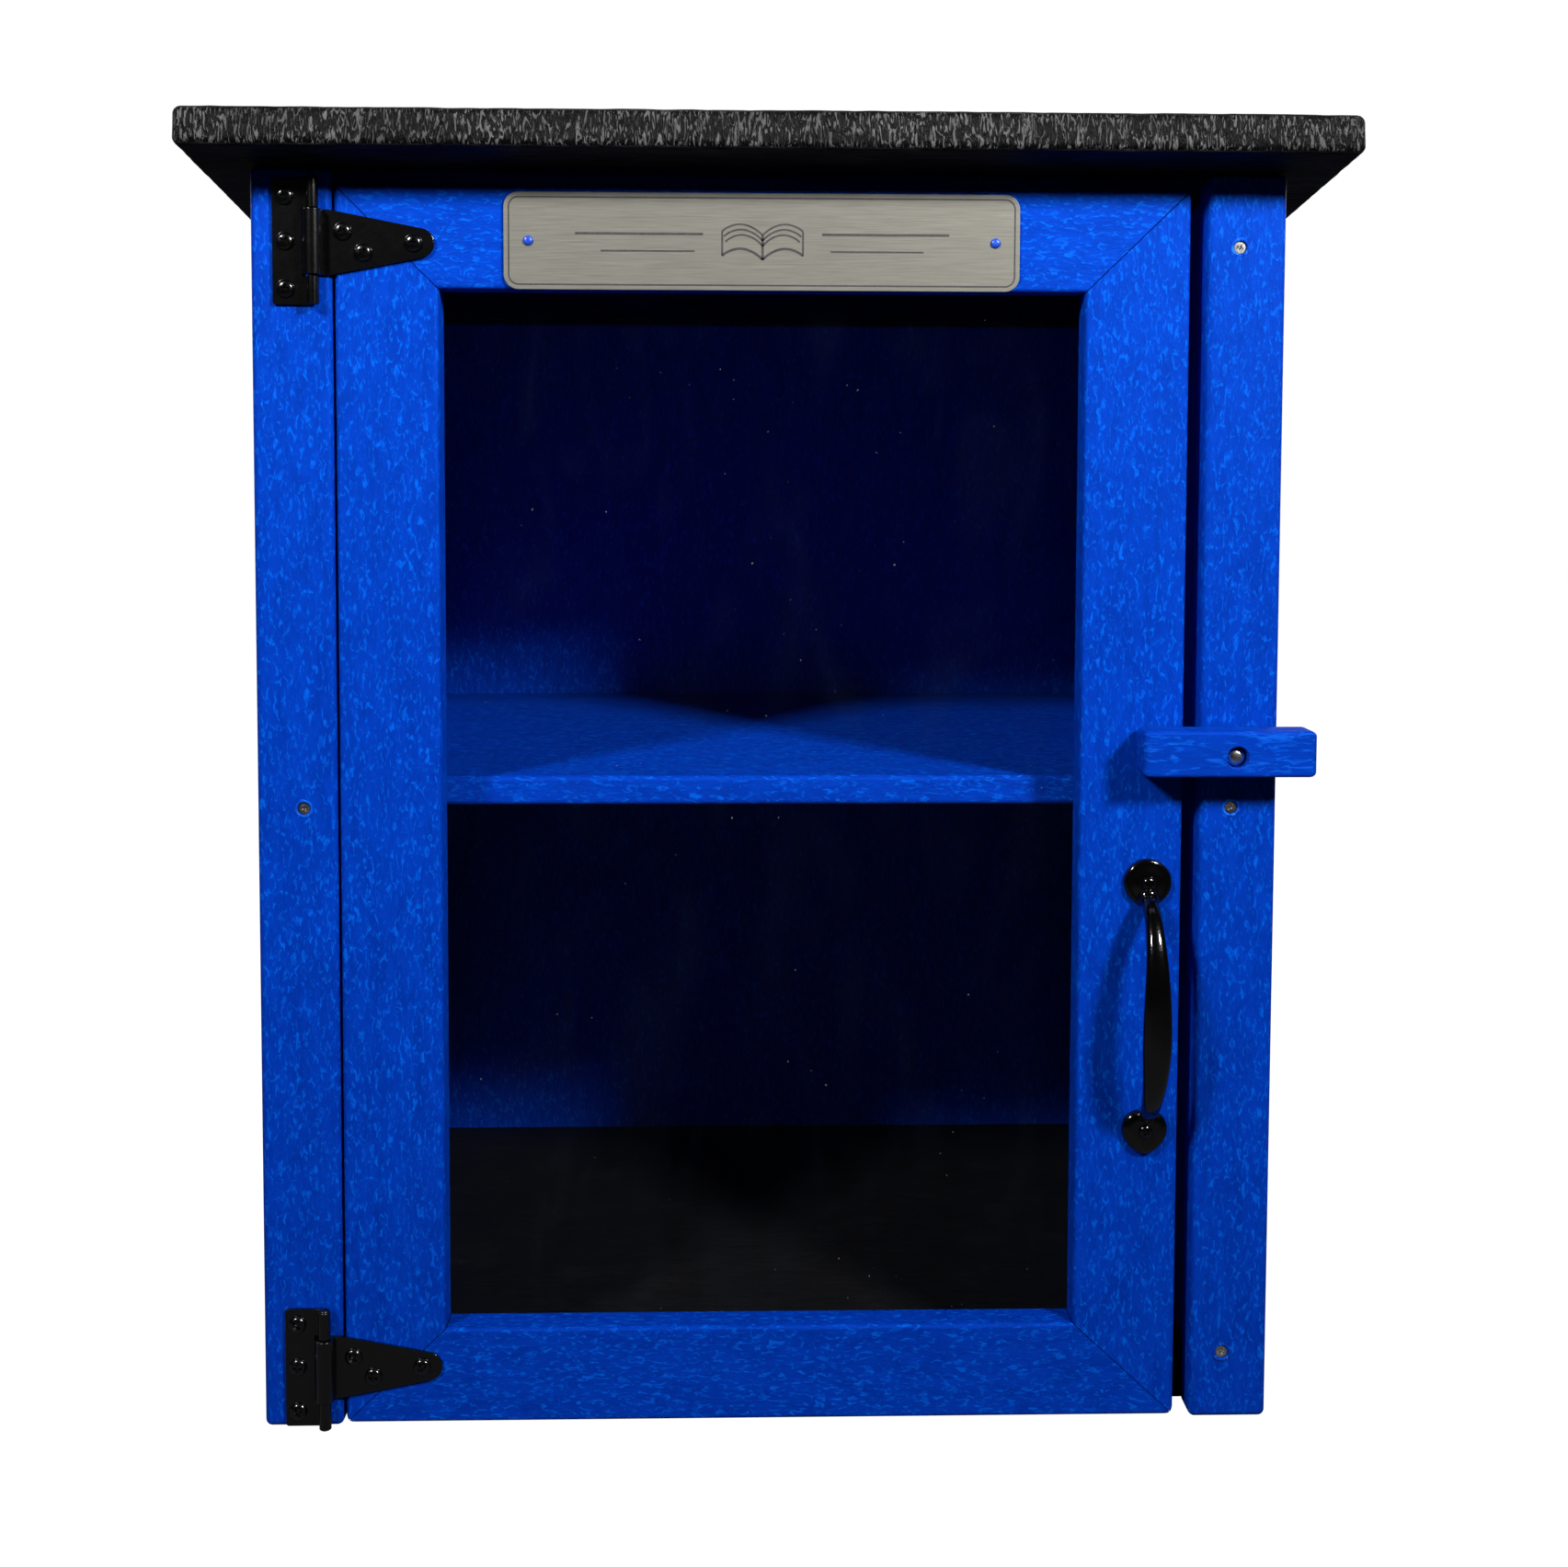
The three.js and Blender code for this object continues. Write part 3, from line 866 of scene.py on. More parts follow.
def carve(piece: bpy.types.Object, cutters: list[bpy.types.Object], mode: str = "DIFFERENCE") -> None:
    """Cuts other meshes out of a piece, or joins them to it, and drops them.

    Args:
        piece: the object that is changed.
        cutters: closed meshes.
        mode: the boolean operation.
    """
    kept = [m for m in piece.modifiers]
    for modifier in kept:
        modifier.show_viewport = False
    for cutter in cutters:
        step = piece.modifiers.new("carve", "BOOLEAN")
        step.operation, step.object, step.solver = mode, cutter, "EXACT"
    bpy.context.view_layer.update()
    evaluated = piece.evaluated_get(bpy.context.evaluated_depsgraph_get())
    shaped = bpy.data.meshes.new_from_object(evaluated)
    for modifier in [m for m in piece.modifiers if m.type == "BOOLEAN"]:
        piece.modifiers.remove(modifier)
    for modifier in kept:
        modifier.show_viewport = True
    piece.data = shaped
    for cutter in cutters:
        bpy.data.objects.remove(cutter)


def cross_cutters(width: float, reach: float, depth: float) -> tuple[list[Point], list[list[list[int]]]]:
    """Two tapered bars crossing at the top of a screw head, as plain boxes about z = 0.

    Args:
        width: half width of a bar.
        reach: half length of a bar.
        depth: how far it goes below and above z = 0.

    Returns:
        The corners of each bar, and the faces that either has.
    """
    bars = []
    for swap in (False, True):
        half = (reach, width) if not swap else (width, reach)
        bars.append([
            (sx * half[0] * shrink, sy * half[1] * shrink, z)
            for z, shrink in ((-depth, 0.55), (depth, 1.3))
            for sx, sy in ((-1, -1), (1, -1), (1, 1), (-1, 1))
        ])
    box = [[3, 2, 1, 0], [4, 5, 6, 7], [0, 1, 5, 4], [1, 2, 6, 5], [2, 3, 7, 6], [3, 0, 4, 7]]
    return bars, box


@dataclass
class Screw:
    """A screw's head, shank and recess, standing for a node or added where none is.

    Attributes:
        name: the piece's name.
        body: the body it moves with.
        seat: centre of the surface that it sits on.
        outward: direction that its head faces.
        head: radius of the head.
        rise: height of the head's crown over the seat; under 0 for a sunk flat head.
        shank: radius of the shank.
        length: of the shank.
        drive: recess in the head.
        spin: turn of the recess, in degrees.
    """

    name: str
    body: str
    seat: Vector
    outward: Vector
    head: float
    rise: float
    shank: float
    length: float
    drive: Drive = Drive.CROSS
    spin: float = 0.0

    def profile(self) -> Profile:
        """The screw's outline.

        Returns:
            Radius and height pairs, from the tip up to the crown.
        """
        tip = [(0.0, -self.length), (self.shank * 0.7, -self.length + self.shank)]
        if self.rise < 0:
            cone = self.head - self.shank
            return tip + [
                (self.shank, -self.length + 2.2 * self.shank),
                (self.shank, self.rise - cone),
                (self.head, self.rise - 0.12 * MM),
                (self.head - 0.12 * MM, self.rise),
                (self.head * 0.5, self.rise + 0.04 * MM),
                (0.0, self.rise + 0.05 * MM),
            ]
        crown = []
        steps = 8
        for step in range(1, steps + 1):
            angle = step / steps * math.pi / 2
            radius = self.head * math.cos(angle) ** 0.7 if step < steps else 0.0
            crown.append((radius, self.rise * math.sin(angle)))
        return tip + [(self.shank, -self.length + 2.2 * self.shank), (self.shank, 0.0), (self.head, 0.0),
                      (self.head, 0.18 * self.rise)] + [c for c in crown if c[1] > 0.2 * self.rise]

    def build(self, finish: object, node: str | None = None) -> bpy.types.Object:
        """Makes the screw.

        Args:
            finish: of the metal.
            node: the frame's solid that it stands for, if there is one.

        Returns:
            The object.
        """
        piece = turned(self.name, self.profile(), self.seat, self.outward, self.body, 28)
        if self.drive is Drive.CROSS:
            bars, box = cross_cutters(self.head * 0.16, self.head * 0.6, 1.1 * MM)
            face = Vector((0, 0, 1)).rotation_difference(self.outward).to_matrix().to_4x4()
            place = Matrix.Translation(self.seat + self.outward * self.rise) @ face
            place = place @ Matrix.Rotation(math.radians(self.spin), 4, "Z")
            cutters = [make_object(f"{self.name}_bar", [place @ Vector(v) for v in bar], box, self.body)
                       for bar in bars]
            carve(piece, cutters)
            sharpen(piece, 32)
        if node:
            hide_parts(node)
        PAINT.dress(piece, finish)
        return piece


def flat_plate(
    name: str, outline: Profile, y_front: float, y_back: float, body: str, bevel: float = 0.3 * MM
) -> bpy.types.Object:
    """A plate standing in the plane of X and Z, with softened edges.

    Args:
        name: the piece's name.
        outline: anticlockwise seen from the front, as x, z pairs.
        y_front: the face nearer the viewer.
        y_back: the face behind.
        body: the body it moves with.
        bevel: radius of the front edges.

    Returns:
        The object.
    """
    work = bmesh.new()
    back = [work.verts.new((x, y_back, z)) for x, z in outline]
    face = work.faces.new(back[::-1])
    grown = bmesh.ops.extrude_face_region(work, geom=[face])
    moved = [v for v in grown["geom"] if isinstance(v, bmesh.types.BMVert)]
    bmesh.ops.translate(work, verts=moved, vec=(0, y_front - y_back, 0))
    bmesh.ops.recalc_face_normals(work, faces=work.faces)
    front_edges = [e for e in work.edges if all(abs(v.co.y - y_front) < 1e-7 for v in e.verts)]
    bmesh.ops.bevel(work, geom=front_edges, offset=bevel, segments=3, profile=0.5, affect="EDGES",
                    clamp_overlap=True)
    mesh = bpy.data.meshes.new(name)
    work.to_mesh(mesh)
    work.free()
    piece = bpy.data.objects.new(name, mesh)
    bpy.context.scene.collection.objects.link(piece)
    mesh.shade_smooth()
    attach(piece, body)
    sharpen(piece, 50)
    even_shading(piece)
    return piece


def arc(x: float, z: float, radius: float, start: float, stop: float, steps: int = 8) -> Profile:
    """Points along an arc.

    Args:
        x: of its centre.
        z: of its centre.
        radius: of the arc.
        start: angle of the first point, in degrees.
        stop: angle of the last point, in degrees.
        steps: pieces in the arc.

    Returns:
        The points, as x, z pairs.
    """
    return [
        (x + radius * math.cos(math.radians(start + (stop - start) * k / steps)),
         z + radius * math.sin(math.radians(start + (stop - start) * k / steps)))
        for k in range(steps + 1)
    ]


FRONT = Vector((0, -1, 0))


# ------------------------------------------------------------------ carcass


def under_roof(y: float) -> float:
    """How much lower the roof's underside is at depth y than over the front posts."""
    front = corners("left_front_post")[0].y
    return (y - front) * math.tan(ROOF_SLOPE)


@dataclass
class Carcass:
    """Posts, side panels, back, floor and shelf, with the screws that hold them.

    Attributes:
        side_screw_inset: distance of the side screws from the front and back edges.
        head: radius of a screw's countersink.
    """

    side_screw_inset: float = 70 * MM
    head: float = 3 * MM

    def upright(self, node: str, edge: float, end: float) -> bpy.types.Object:
        """One upright board whose top follows the roof.

        Args:
            node: the frame's solid that it stands for.
            edge: radius of the long edges.
            end: radius of the edges at the two ends.

        Returns:
            The board's object.
        """
        low, _high = corners(node)
        top_drop = under_roof(low.y)

        def cut(first: float, second: float) -> float:
            """Drop of the top below its highest line; first and second are x and y."""
            return under_roof(second) - top_drop

        board = Board(node, "cabinet", Run.Z, edge=edge, end=end, stop_cut=cut)
        return board.build(BlueLumber(Run.Z))

    def sink(self, board: bpy.types.Object, seats: list[tuple[Vector, Vector]], radius: float) -> None:
        """Cuts a countersink for each screw seat.

        Args:
            board: the board's object.
            seats: pairs of a point on the face and the direction out of it.
            radius: of the screw heads.
        """
        cutters = []
        for number, (seat, outward) in enumerate(seats):
            profile = [(radius * 0.5, -6 * MM), (radius * 0.62, -2.6 * MM), (radius * 1.06, -0.7 * MM),
                       (radius * 1.12, 1 * MM)]
            cutters.append(turned(f"{board.name}_sink_{number}", profile, seat, outward, "cabinet", 24))
        carve(board, cutters)

    def burr(self, name: str, seat: Vector, outward: Vector, body: str = "cabinet") -> None:
        """The thin raised lip of torn plastic round a sunk screw.

        Args:
            name: the piece's name.
            seat: the screw's place on the face.
            outward: direction out of the face.
            body: the body it moves with.
        """
        turn = Vector((0, 0, 1)).rotation_difference(outward).to_matrix()
        rings = []
        around, across = 36, 8
        for k in range(around):
            angle = 2 * math.pi * k / around
            swell = noise.noise(Vector((math.cos(angle), math.sin(angle), seat.z * 40)) * 1.7)
            radius = self.head * (1.27 + 0.1 * swell)
            thick = 0.46 * MM * (1 + 0.7 * swell)
            ring = []
            for j in range(across):
                roll = -2 * math.pi * j / across
                reach = radius + thick * 1.5 * math.cos(roll)
                up = thick * 0.8 * math.sin(roll)
                local = Vector((reach * math.cos(angle), reach * math.sin(angle), up))
                ring.append(tuple(seat + turn @ local))
            rings.append(ring)
        vertices, faces = loft(rings, closed=True)
        piece = make_object(name, vertices, faces, body)
        PAINT.dress(piece, BlueLumber(Run.Z, fleck=(0.02, 0.16, 0.8), plain=(0.003, 0.08, 0.55)))

    def post_screws(self) -> dict[str, list[tuple[Vector, Vector]]]:
        """Fits the post screws, each with its torn lip.

        Returns:
            For each side, pairs of a point on the face and the direction out of it.
        """
        places: dict[str, list[tuple[Vector, Vector]]] = {"left": [], "right": []}
        front = corners("left_front_post")[0].y
        for index, node in enumerate(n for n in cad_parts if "post_screw" in n):
            spot = middle(node)
            seat = Vector((spot.x, front, spot.z))
            places["left" if spot.x < 0 else "right"].append((seat, FRONT))
            Screw(f"{node}_look", "cabinet", seat, FRONT, self.head - 0.1 * MM, -0.6 * MM, 1.5 * MM, 40 * MM,
                  spin=23 + 41 * index).build(Stainless(), node)
            self.burr(f"{node}_burr", seat, FRONT)
        return places

    def side_seats(self, side: str) -> list[tuple[Vector, Vector]]:
        """Places of the screws through a side panel into the shelf and the floor.

        Args:
            side: left or right.

        Returns:
            Pairs of a point on the face and the direction out of it.
        """
        low, high = corners(f"{side}_side_panel")
        outward = Vector((-1 if side == "left" else 1, 0, 0))
        x = low.x if side == "left" else high.x
        heights = [middle("floor_board").z, middle("shelf_board").z]
        depths = [low.y + self.side_screw_inset, (low.y + high.y) / 2, high.y - self.side_screw_inset]
        return [(Vector((x, y, z)), outward) for z in heights for y in depths]

    def back_seats(self) -> list[tuple[Vector, Vector]]:
        """Places of the screws through the back panel into the sides, shelf and floor.

        Returns:
            Pairs of a point on the face and the direction out of it.
        """
        low, high = corners("back_panel")
        inset = BOARD / 2
        rows = [middle("floor_board").z, middle("shelf_board").z, high.z - 40 * MM]
        columns = [low.x + inset, low.x * 0.35, high.x * 0.35, high.x - inset]
        spots = [(x, z) for z in rows[:2] for x in columns] + [(columns[0], rows[2]), (columns[3], rows[2])]
        return [(Vector((x, high.y, z)), Vector((0, 1, 0))) for x, z in spots]

    def fasten(self, label: str, board: bpy.types.Object, seats: list[tuple[Vector, Vector]]) -> None:
        """Sinks and fits a row of flat screws that the frame has no solids for.

        Args:
            label: start of the screws' names.
            board: the board that they go into.
            seats: pairs of a point on the face and the direction out of it.
        """
        self.sink(board, seats, self.head)
        for number, (seat, outward) in enumerate(seats):
            Screw(f"{label}_screw_{number + 1}", "cabinet", seat, outward, self.head - 0.1 * MM, -0.45 * MM,
                  1.5 * MM, 14 * MM, spin=37 * number).build(Stainless())

    def build(self) -> None:
        """Makes every piece of the carcass."""
        places = self.post_screws()
        for side in ("left", "right"):
            post = self.upright(f"{side}_front_post", 3.2 * MM, 3.2 * MM)
            self.sink(post, places[side], self.head)
            panel = self.upright(f"{side}_side_panel", 2 * MM, 2 * MM)
            self.fasten(f"{side}_side", panel, self.side_seats(side))
            LOG.info("post and side panel: %s", side)
        back = self.upright("back_panel", 2 * MM, 2 * MM)
        self.fasten("back", back, self.back_seats())
        Board("shelf_board", "cabinet", Run.X, edge=2.6 * MM, end=0.4 * MM).build(BlueLumber(Run.X))
        Board("floor_board", "cabinet", Run.X, edge=2.6 * MM, end=0.4 * MM).build(BlackFloor())
        LOG.info("back, shelf and floor")


# ------------------------------------------------------------------ roof


@dataclass
class Roof:
    """The sloping roof board with its pressed grain as real relief, and its screws.

    Attributes:
        radius: of its edges.
        cell: spacing of the relief's points.
        relief: depth of the pressed grain.
    """

    radius: float = 4 * MM
    cell: float = 3.2 * MM
    relief: float = 0.75 * MM

    def frame_matrix(self) -> Matrix:
        """The roof's own frame: origin in its middle, y down the slope to the back."""
        return Matrix.Translation(middle("roof_board")) @ Matrix.Rotation(-ROOF_SLOPE, 4, "X")

    def size(self) -> tuple[float, float]:
        """The roof board's size.

        Returns:
            Its width, and its length down the slope.
        """
        low, high = corners("roof_board")
        length = (high.y - low.y - BOARD * math.sin(ROOF_SLOPE)) / math.cos(ROOF_SLOPE)
        return high.x - low.x, length

    def height(self, local: Vector) -> float:
        """Depth of the pressed grain under the board's outline.

        Args:
            local: a place in the roof's own frame.

        Returns:
            From 0 to the full relief.
        """
        grain = noise.fractal(Vector((local.x * 14, local.y * 75, local.z * 75)), 0.9, 2.1, 3)
        ripple = noise.fractal(Vector((local.x * 110 + 5, local.y * 110, local.z * 34)), 0.9, 2.0, 2)
        return self.relief * min(1.0, max(0.0, 0.5 + 0.32 * grain + 0.3 * ripple))

    def build(self) -> None:
        """Makes the board and its six screws."""
        width, length = self.size()
        place = self.frame_matrix()
        steps = 4
        turn = [(step / steps) * math.pi / 2 for step in range(steps + 1)]
        rounding = [(self.radius * (1 - math.cos(a)), self.radius * (1 - math.sin(a))) for a in turn]
        count = round((width - 2 * self.radius) / self.cell)
        flat = width - 2 * self.radius
        stations = [(-width / 2 + along, inset) for along, inset in rounding]
        stations += [(-flat / 2 + flat * k / count, 0.0) for k in range(1, count)]
        stations += [(width / 2 - along, inset) for along, inset in reversed(rounding)]
        rings = []
        for x, inset in stations:
            ring = []
            for y, z in round_rectangle(length, BOARD, self.radius, inset, cell=self.cell):
                local = Vector((x, y, z))
                core = Vector((0, max(-length / 2 + BOARD / 2, min(length / 2 - BOARD / 2, y)), 0))
                out = Vector((0, y - core.y, z))
                if out.length > 0:
                    local = local - out.normalized() * self.height(local)
                ring.append(tuple(place @ local))
            rings.append(ring)
        vertices, faces = loft(rings)
        piece = make_object("roof_board_look", vertices, faces, "cabinet")
        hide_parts("roof_board")
        PAINT.dress(piece, BlackRoof())
        up = (place.to_3x3() @ Vector((0, 0, 1))).normalized()
        cutters = []
        for index, node in enumerate(sorted(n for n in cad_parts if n.startswith("roof_screw"))):
            spot = place.inverted() @ middle(node)
            seat = place @ Vector((spot.x, spot.y, BOARD / 2))
            hole = [(2 * MM, -6 * MM), (2.4 * MM, -3 * MM), (4.3 * MM, -0.9 * MM), (4.6 * MM, 1 * MM)]
            cutters.append(turned(f"{node}_sink", hole, seat, up, "cabinet", 24))
            Screw(f"{node}_look", "cabinet", seat, up, 3.9 * MM, -0.7 * MM, 1.8 * MM, 40 * MM,
                  spin=29 * index).build(Stainless(), node)
        carve(piece, cutters)
        sharpen(piece, 60)
        LOG.info("roof board with relief and screws")


# ------------------------------------------------------------------ door


@dataclass
class DoorFrame:
    """Four mitred boards, the window sheet behind them and its screws.

    Attributes:
        corner: radius of the frame's outer corners, seen from the front.
        edge: radius of the long edges.
        mitre: radius of the edges along the mitres.
    """

    corner: float = 5.2 * MM
    edge: float = 2.2 * MM
    mitre: float = 0.18 * MM

    def mitre_cut(self, outer: float, inner: float, run: float) -> Callable[[float], float]:
        """How far a board's end is cut back across its width.

        Args:
            outer: place of the board's outer edge, across the board.
            inner: place of its inner edge.
            run: how much shorter the inner edge is at this end.

        Returns:
            A function of the place across the board.
        """
        def cut(place: float) -> float:
            """Distance cut back."""
            return min(abs(place - outer) / abs(inner - outer), 1) * run

        return cut

    def round_corner(self, board: bpy.types.Object, x: float, z: float) -> None:
        """Rounds one of the frame's outer corners on a board that meets there.

        Args:
            board: the board's object.
            x: place of the corner across.
            z: height of the corner.
        """
        low, high = corners(board.name.removesuffix("_look"))
        right = 1 if x > middle("window_pane").x else -1
        up = 1 if z > middle("window_pane").z else -1
        r, spare = self.corner, 1 * MM
        outline = [(x + right * spare, z + up * spare), (x + right * spare, z - up * r)]
        outline += [(x - right * r + right * px, z - up * r + up * pz) for px, pz in arc(0, 0, r, 0, 90)]
        outline.append((x - right * r, z + up * spare))
        rings = [[(px, y, pz) for px, pz in outline] for y in (low.y - spare, high.y + spare)]
        cutter = make_object(f"{board.name}_corner", *loft(rings), "door")
        turn_outward(cutter)
        carve(board, [cutter])
        sharpen(board, 50)

    def build_frame(self) -> None:
        """Makes the four boards."""
        left_low, left_high = corners("door_left_stile")
        right_low, right_high = corners("door_right_stile")
        top_low, top_high = corners("door_top_rail")
        bottom_low, bottom_high = corners("door_bottom_rail")
        left_wide, right_wide = left_high.x - left_low.x, right_high.x - right_low.x
        top_wide, bottom_wide = top_high.z - top_low.z, bottom_high.z - bottom_low.z
        rails = (
            ("door_top_rail", top_high.z, top_low.z),
            ("door_bottom_rail", bottom_low.z, bottom_high.z),
        )
        for node, outer, inner in rails:
            start = self.mitre_cut(outer, inner, left_wide)
            stop = self.mitre_cut(outer, inner, right_wide)
            board = Board(node, "door", Run.X, edge=self.edge, end=self.mitre,
                          start_cut=lambda y, z, cut=start: cut(z),
                          stop_cut=lambda y, z, cut=stop: cut(z)).build(BlueLumber(Run.X))
            for x in (left_low.x, right_high.x):
                self.round_corner(board, x, outer)
        stiles = (
            ("door_left_stile", left_low.x, left_high.x),
            ("door_right_stile", right_high.x, right_low.x),
        )
        for node, outer, inner in stiles:
            start = self.mitre_cut(outer, inner, bottom_wide)
            stop = self.mitre_cut(outer, inner, top_wide)
            board = Board(node, "door", Run.Z, edge=self.edge, end=self.mitre,
                          start_cut=lambda x, y, cut=start: cut(x),
                          stop_cut=lambda x, y, cut=stop: cut(x)).build(BlueLumber(Run.Z))
            for z in (bottom_low.z, top_high.z):
                self.round_corner(board, outer, z)
        LOG.info("door frame boards")

    def build_window(self) -> None:
        """Makes the clear sheet and the screws that hold it."""
        low, high = corners("window_pane")
        centre = (low + high) / 2
        rings = []
        soft = 0.4 * MM
        for y, inset in ((high.y, soft), (high.y - soft, 0), (low.y + soft, 0), (low.y, soft)):
            outline = round_rectangle(high.x - low.x, high.z - low.z, 2 * MM, inset)
            rings.append([(centre.x + x, y, centre.z + z) for x, z in outline])
        vertices, faces = loft(rings)
        pane = make_object("window_pane_look", vertices, faces, "door")
        PAINT.dress(pane, ClearSheet(), ClearSheet("acrylic_edge", (0.45, 0.6), (0.03, 0.06, 0.08)))
        for polygon in pane.data.polygons:
            polygon.material_index = 0 if abs(polygon.normal.y) > 0.9 else 1
        sharpen(pane, 30)
        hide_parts("window_pane")
        for index, node in enumerate(sorted(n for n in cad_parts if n.startswith("pane_screw"))):
            spot = middle(node)
            seat = Vector((spot.x, high.y, spot.z))
            Screw(f"{node}_look", "door", seat, Vector((0, 1, 0)), 2.4 * MM, 1.4 * MM, 1.2 * MM, 9 * MM,
                  spin=31 * index).build(Stainless(), node)
        LOG.info("window sheet and screws")


# ------------------------------------------------------------------ hinges


@dataclass
class Hinge:
    """A pressed T-hinge: leaf, strap, pin and six pan screws.

    Attributes:
        name: lower or upper.
        bore: radius of the pin's hole in the rolled knuckles.
        pin: radius of the pin.
        leaf_knuckle: outer radius of the leaf's rolled knuckles.
        strap_knuckle: outer radius of the strap's roll.
        plate: thickness of the leaf and the strap.
        tip_radius: of the strap's round tip.
    """

    name: str
    bore: float = 2.05 * MM
    pin: float = 1.75 * MM
    leaf_knuckle: float = 2.9 * MM
    strap_knuckle: float = 4.4 * MM
    plate: float = 1.75 * MM
    tip_radius: float = 7 * MM

    def __post_init__(self) -> None:
        """Reads the hinge's places from the frame."""
        self.leaf_low, self.leaf_high = corners(f"{self.name}_hinge_leaf")
        self.strap_low, self.strap_high = corners(f"{self.name}_hinge_strap")
        spot = middle(f"{self.name}_hinge_pin")
        self.axis = Vector((spot.x, spot.y, (self.leaf_low.z + self.leaf_high.z) / 2))
        self.face = self.leaf_high.y

    def knuckle(
        self, label: str, radius: float, low: float, high: float, body: str
    ) -> bpy.types.Object:
        """A rolled tube about the pin, with softened ends.

        Args:
            label: the piece's name.
            radius: outer radius.
            low: height of its lower end.
            high: height of its upper end.
            body: the body it moves with.

        Returns:
            The tube.
        """
        soft = 0.35 * MM
        section = [
            (radius, low + soft), (radius, high - soft), (radius - soft, high),
            (self.bore + soft / 2, high), (self.bore, high - soft),
            (self.bore, low + soft), (self.bore + soft / 2, low), (radius - soft, low),
        ]
        rings = []
        sides = 40
        for k in range(sides):
            angle = 2 * math.pi * k / sides
            rings.append([
                (self.axis.x + r * math.cos(angle), self.axis.y + r * math.sin(angle), z)
                for r, z in section[::-1]
            ])
        vertices, faces = loft(rings, closed=True)
        return make_object(label, vertices, faces, body)

    def plate_holes(self, seats: list[Vector], body: str) -> list[bpy.types.Object]:
        """Cutters for the screw holes, with a shallow countersink.

        Args:
            seats: places of the screws.
            body: the body that the plate moves with.

        Returns:
            The cutters.
        """
        profile = [(1.9 * MM, -4 * MM), (1.9 * MM, -0.5 * MM), (2.6 * MM, 0.3 * MM)]
        name = f"{self.name}_hole"
        return [turned(f"{name}_{k}", profile, seat, FRONT, body, 20) for k, seat in enumerate(seats)]

    def seats(self, kind: str) -> list[tuple[str, Vector]]:
        """Screws of one plate.

        Args:
            kind: leaf or strap.

        Returns:
            Pairs of a screw's node and its place on the plate.
        """
        nodes = sorted(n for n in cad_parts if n.startswith(f"{self.name}_{kind}_screw"))
        return [(n, Vector((middle(n).x, self.face - self.plate, middle(n).z))) for n in nodes]

    def build_leaf(self) -> None:
        """Makes the fixed leaf."""
        low, high = self.leaf_low, self.leaf_high
        front = self.face - self.plate
        knuckle = 13.25 * MM
        inner = self.axis.x - 5.2 * MM
        corner = 1.2 * MM
        outline = arc(low.x + corner, low.z + corner, corner, 180, 270, 4)
        outline += [(self.axis.x, low.z), (self.axis.x, low.z + knuckle), (inner, low.z + knuckle)]
        outline += [(inner, high.z - knuckle), (self.axis.x, high.z - knuckle), (self.axis.x, high.z)]
        outline += arc(low.x + corner, high.z - corner, corner, 90, 180, 4)
        leaf = flat_plate(f"{self.name}_hinge_leaf_look", outline, front, self.face, "cabinet", 0.35 * MM)
        parts = []
        for number, (z0, z1) in enumerate(((low.z, low.z + knuckle), (high.z - knuckle, high.z))):
            label = f"{self.name}_leaf_knuckle_{number}"
            parts.append(self.knuckle(label, self.leaf_knuckle, z0, z1, "cabinet"))
        seats = self.seats("leaf")
        carve(leaf, parts, "UNION")
        reach = 6 * knuckle
        clear = turned(f"{self.name}_leaf_bore", [(self.bore, -reach), (self.bore, reach)],
                       self.axis, Vector((0, 0, 1)), "cabinet", 40)
        carve(leaf, [clear] + self.plate_holes([s for _, s in seats], "cabinet"))
        sharpen(leaf, 38)
        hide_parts(f"{self.name}_hinge_leaf")
        PAINT.dress(leaf, HINGE_ENAMEL)

    def build_strap(self) -> None:
        """Makes the tapered strap and its rolled root."""
        low, high = self.strap_low, self.strap_high
        z = self.axis.z
        front = self.face - self.plate
        half = (high.z - low.z) / 2
        root = self.axis.x + 7 * MM
        tip = high.x - self.tip_radius
        lean = math.degrees(math.atan2(half - self.tip_radius, tip - root))
        outline = [(self.axis.x + 1 * MM, z - half), (root, z - half)]
        outline += arc(tip, z, self.tip_radius, -90 + lean, 90 - lean, 12)
        outline += [(root, z + half), (self.axis.x + 1 * MM, z + half)]
        strap = flat_plate(f"{self.name}_hinge_strap_look", outline, front, self.face, "door", 0.35 * MM)
        roll = self.knuckle(f"{self.name}_strap_roll", self.strap_knuckle, z - half, z + half, "door")
        carve(strap, [roll], "UNION")
        bore = turned(f"{self.name}_strap_bore", [(self.bore, -half * 2), (self.bore, half * 2)], self.axis,
                      Vector((0, 0, 1)), "door", 40)
        seats = self.seats("strap")
        carve(strap, [bore] + self.plate_holes([s for _, s in seats], "door"))
        sharpen(strap, 38)
        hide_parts(f"{self.name}_hinge_strap")
        PAINT.dress(strap, HINGE_ENAMEL)

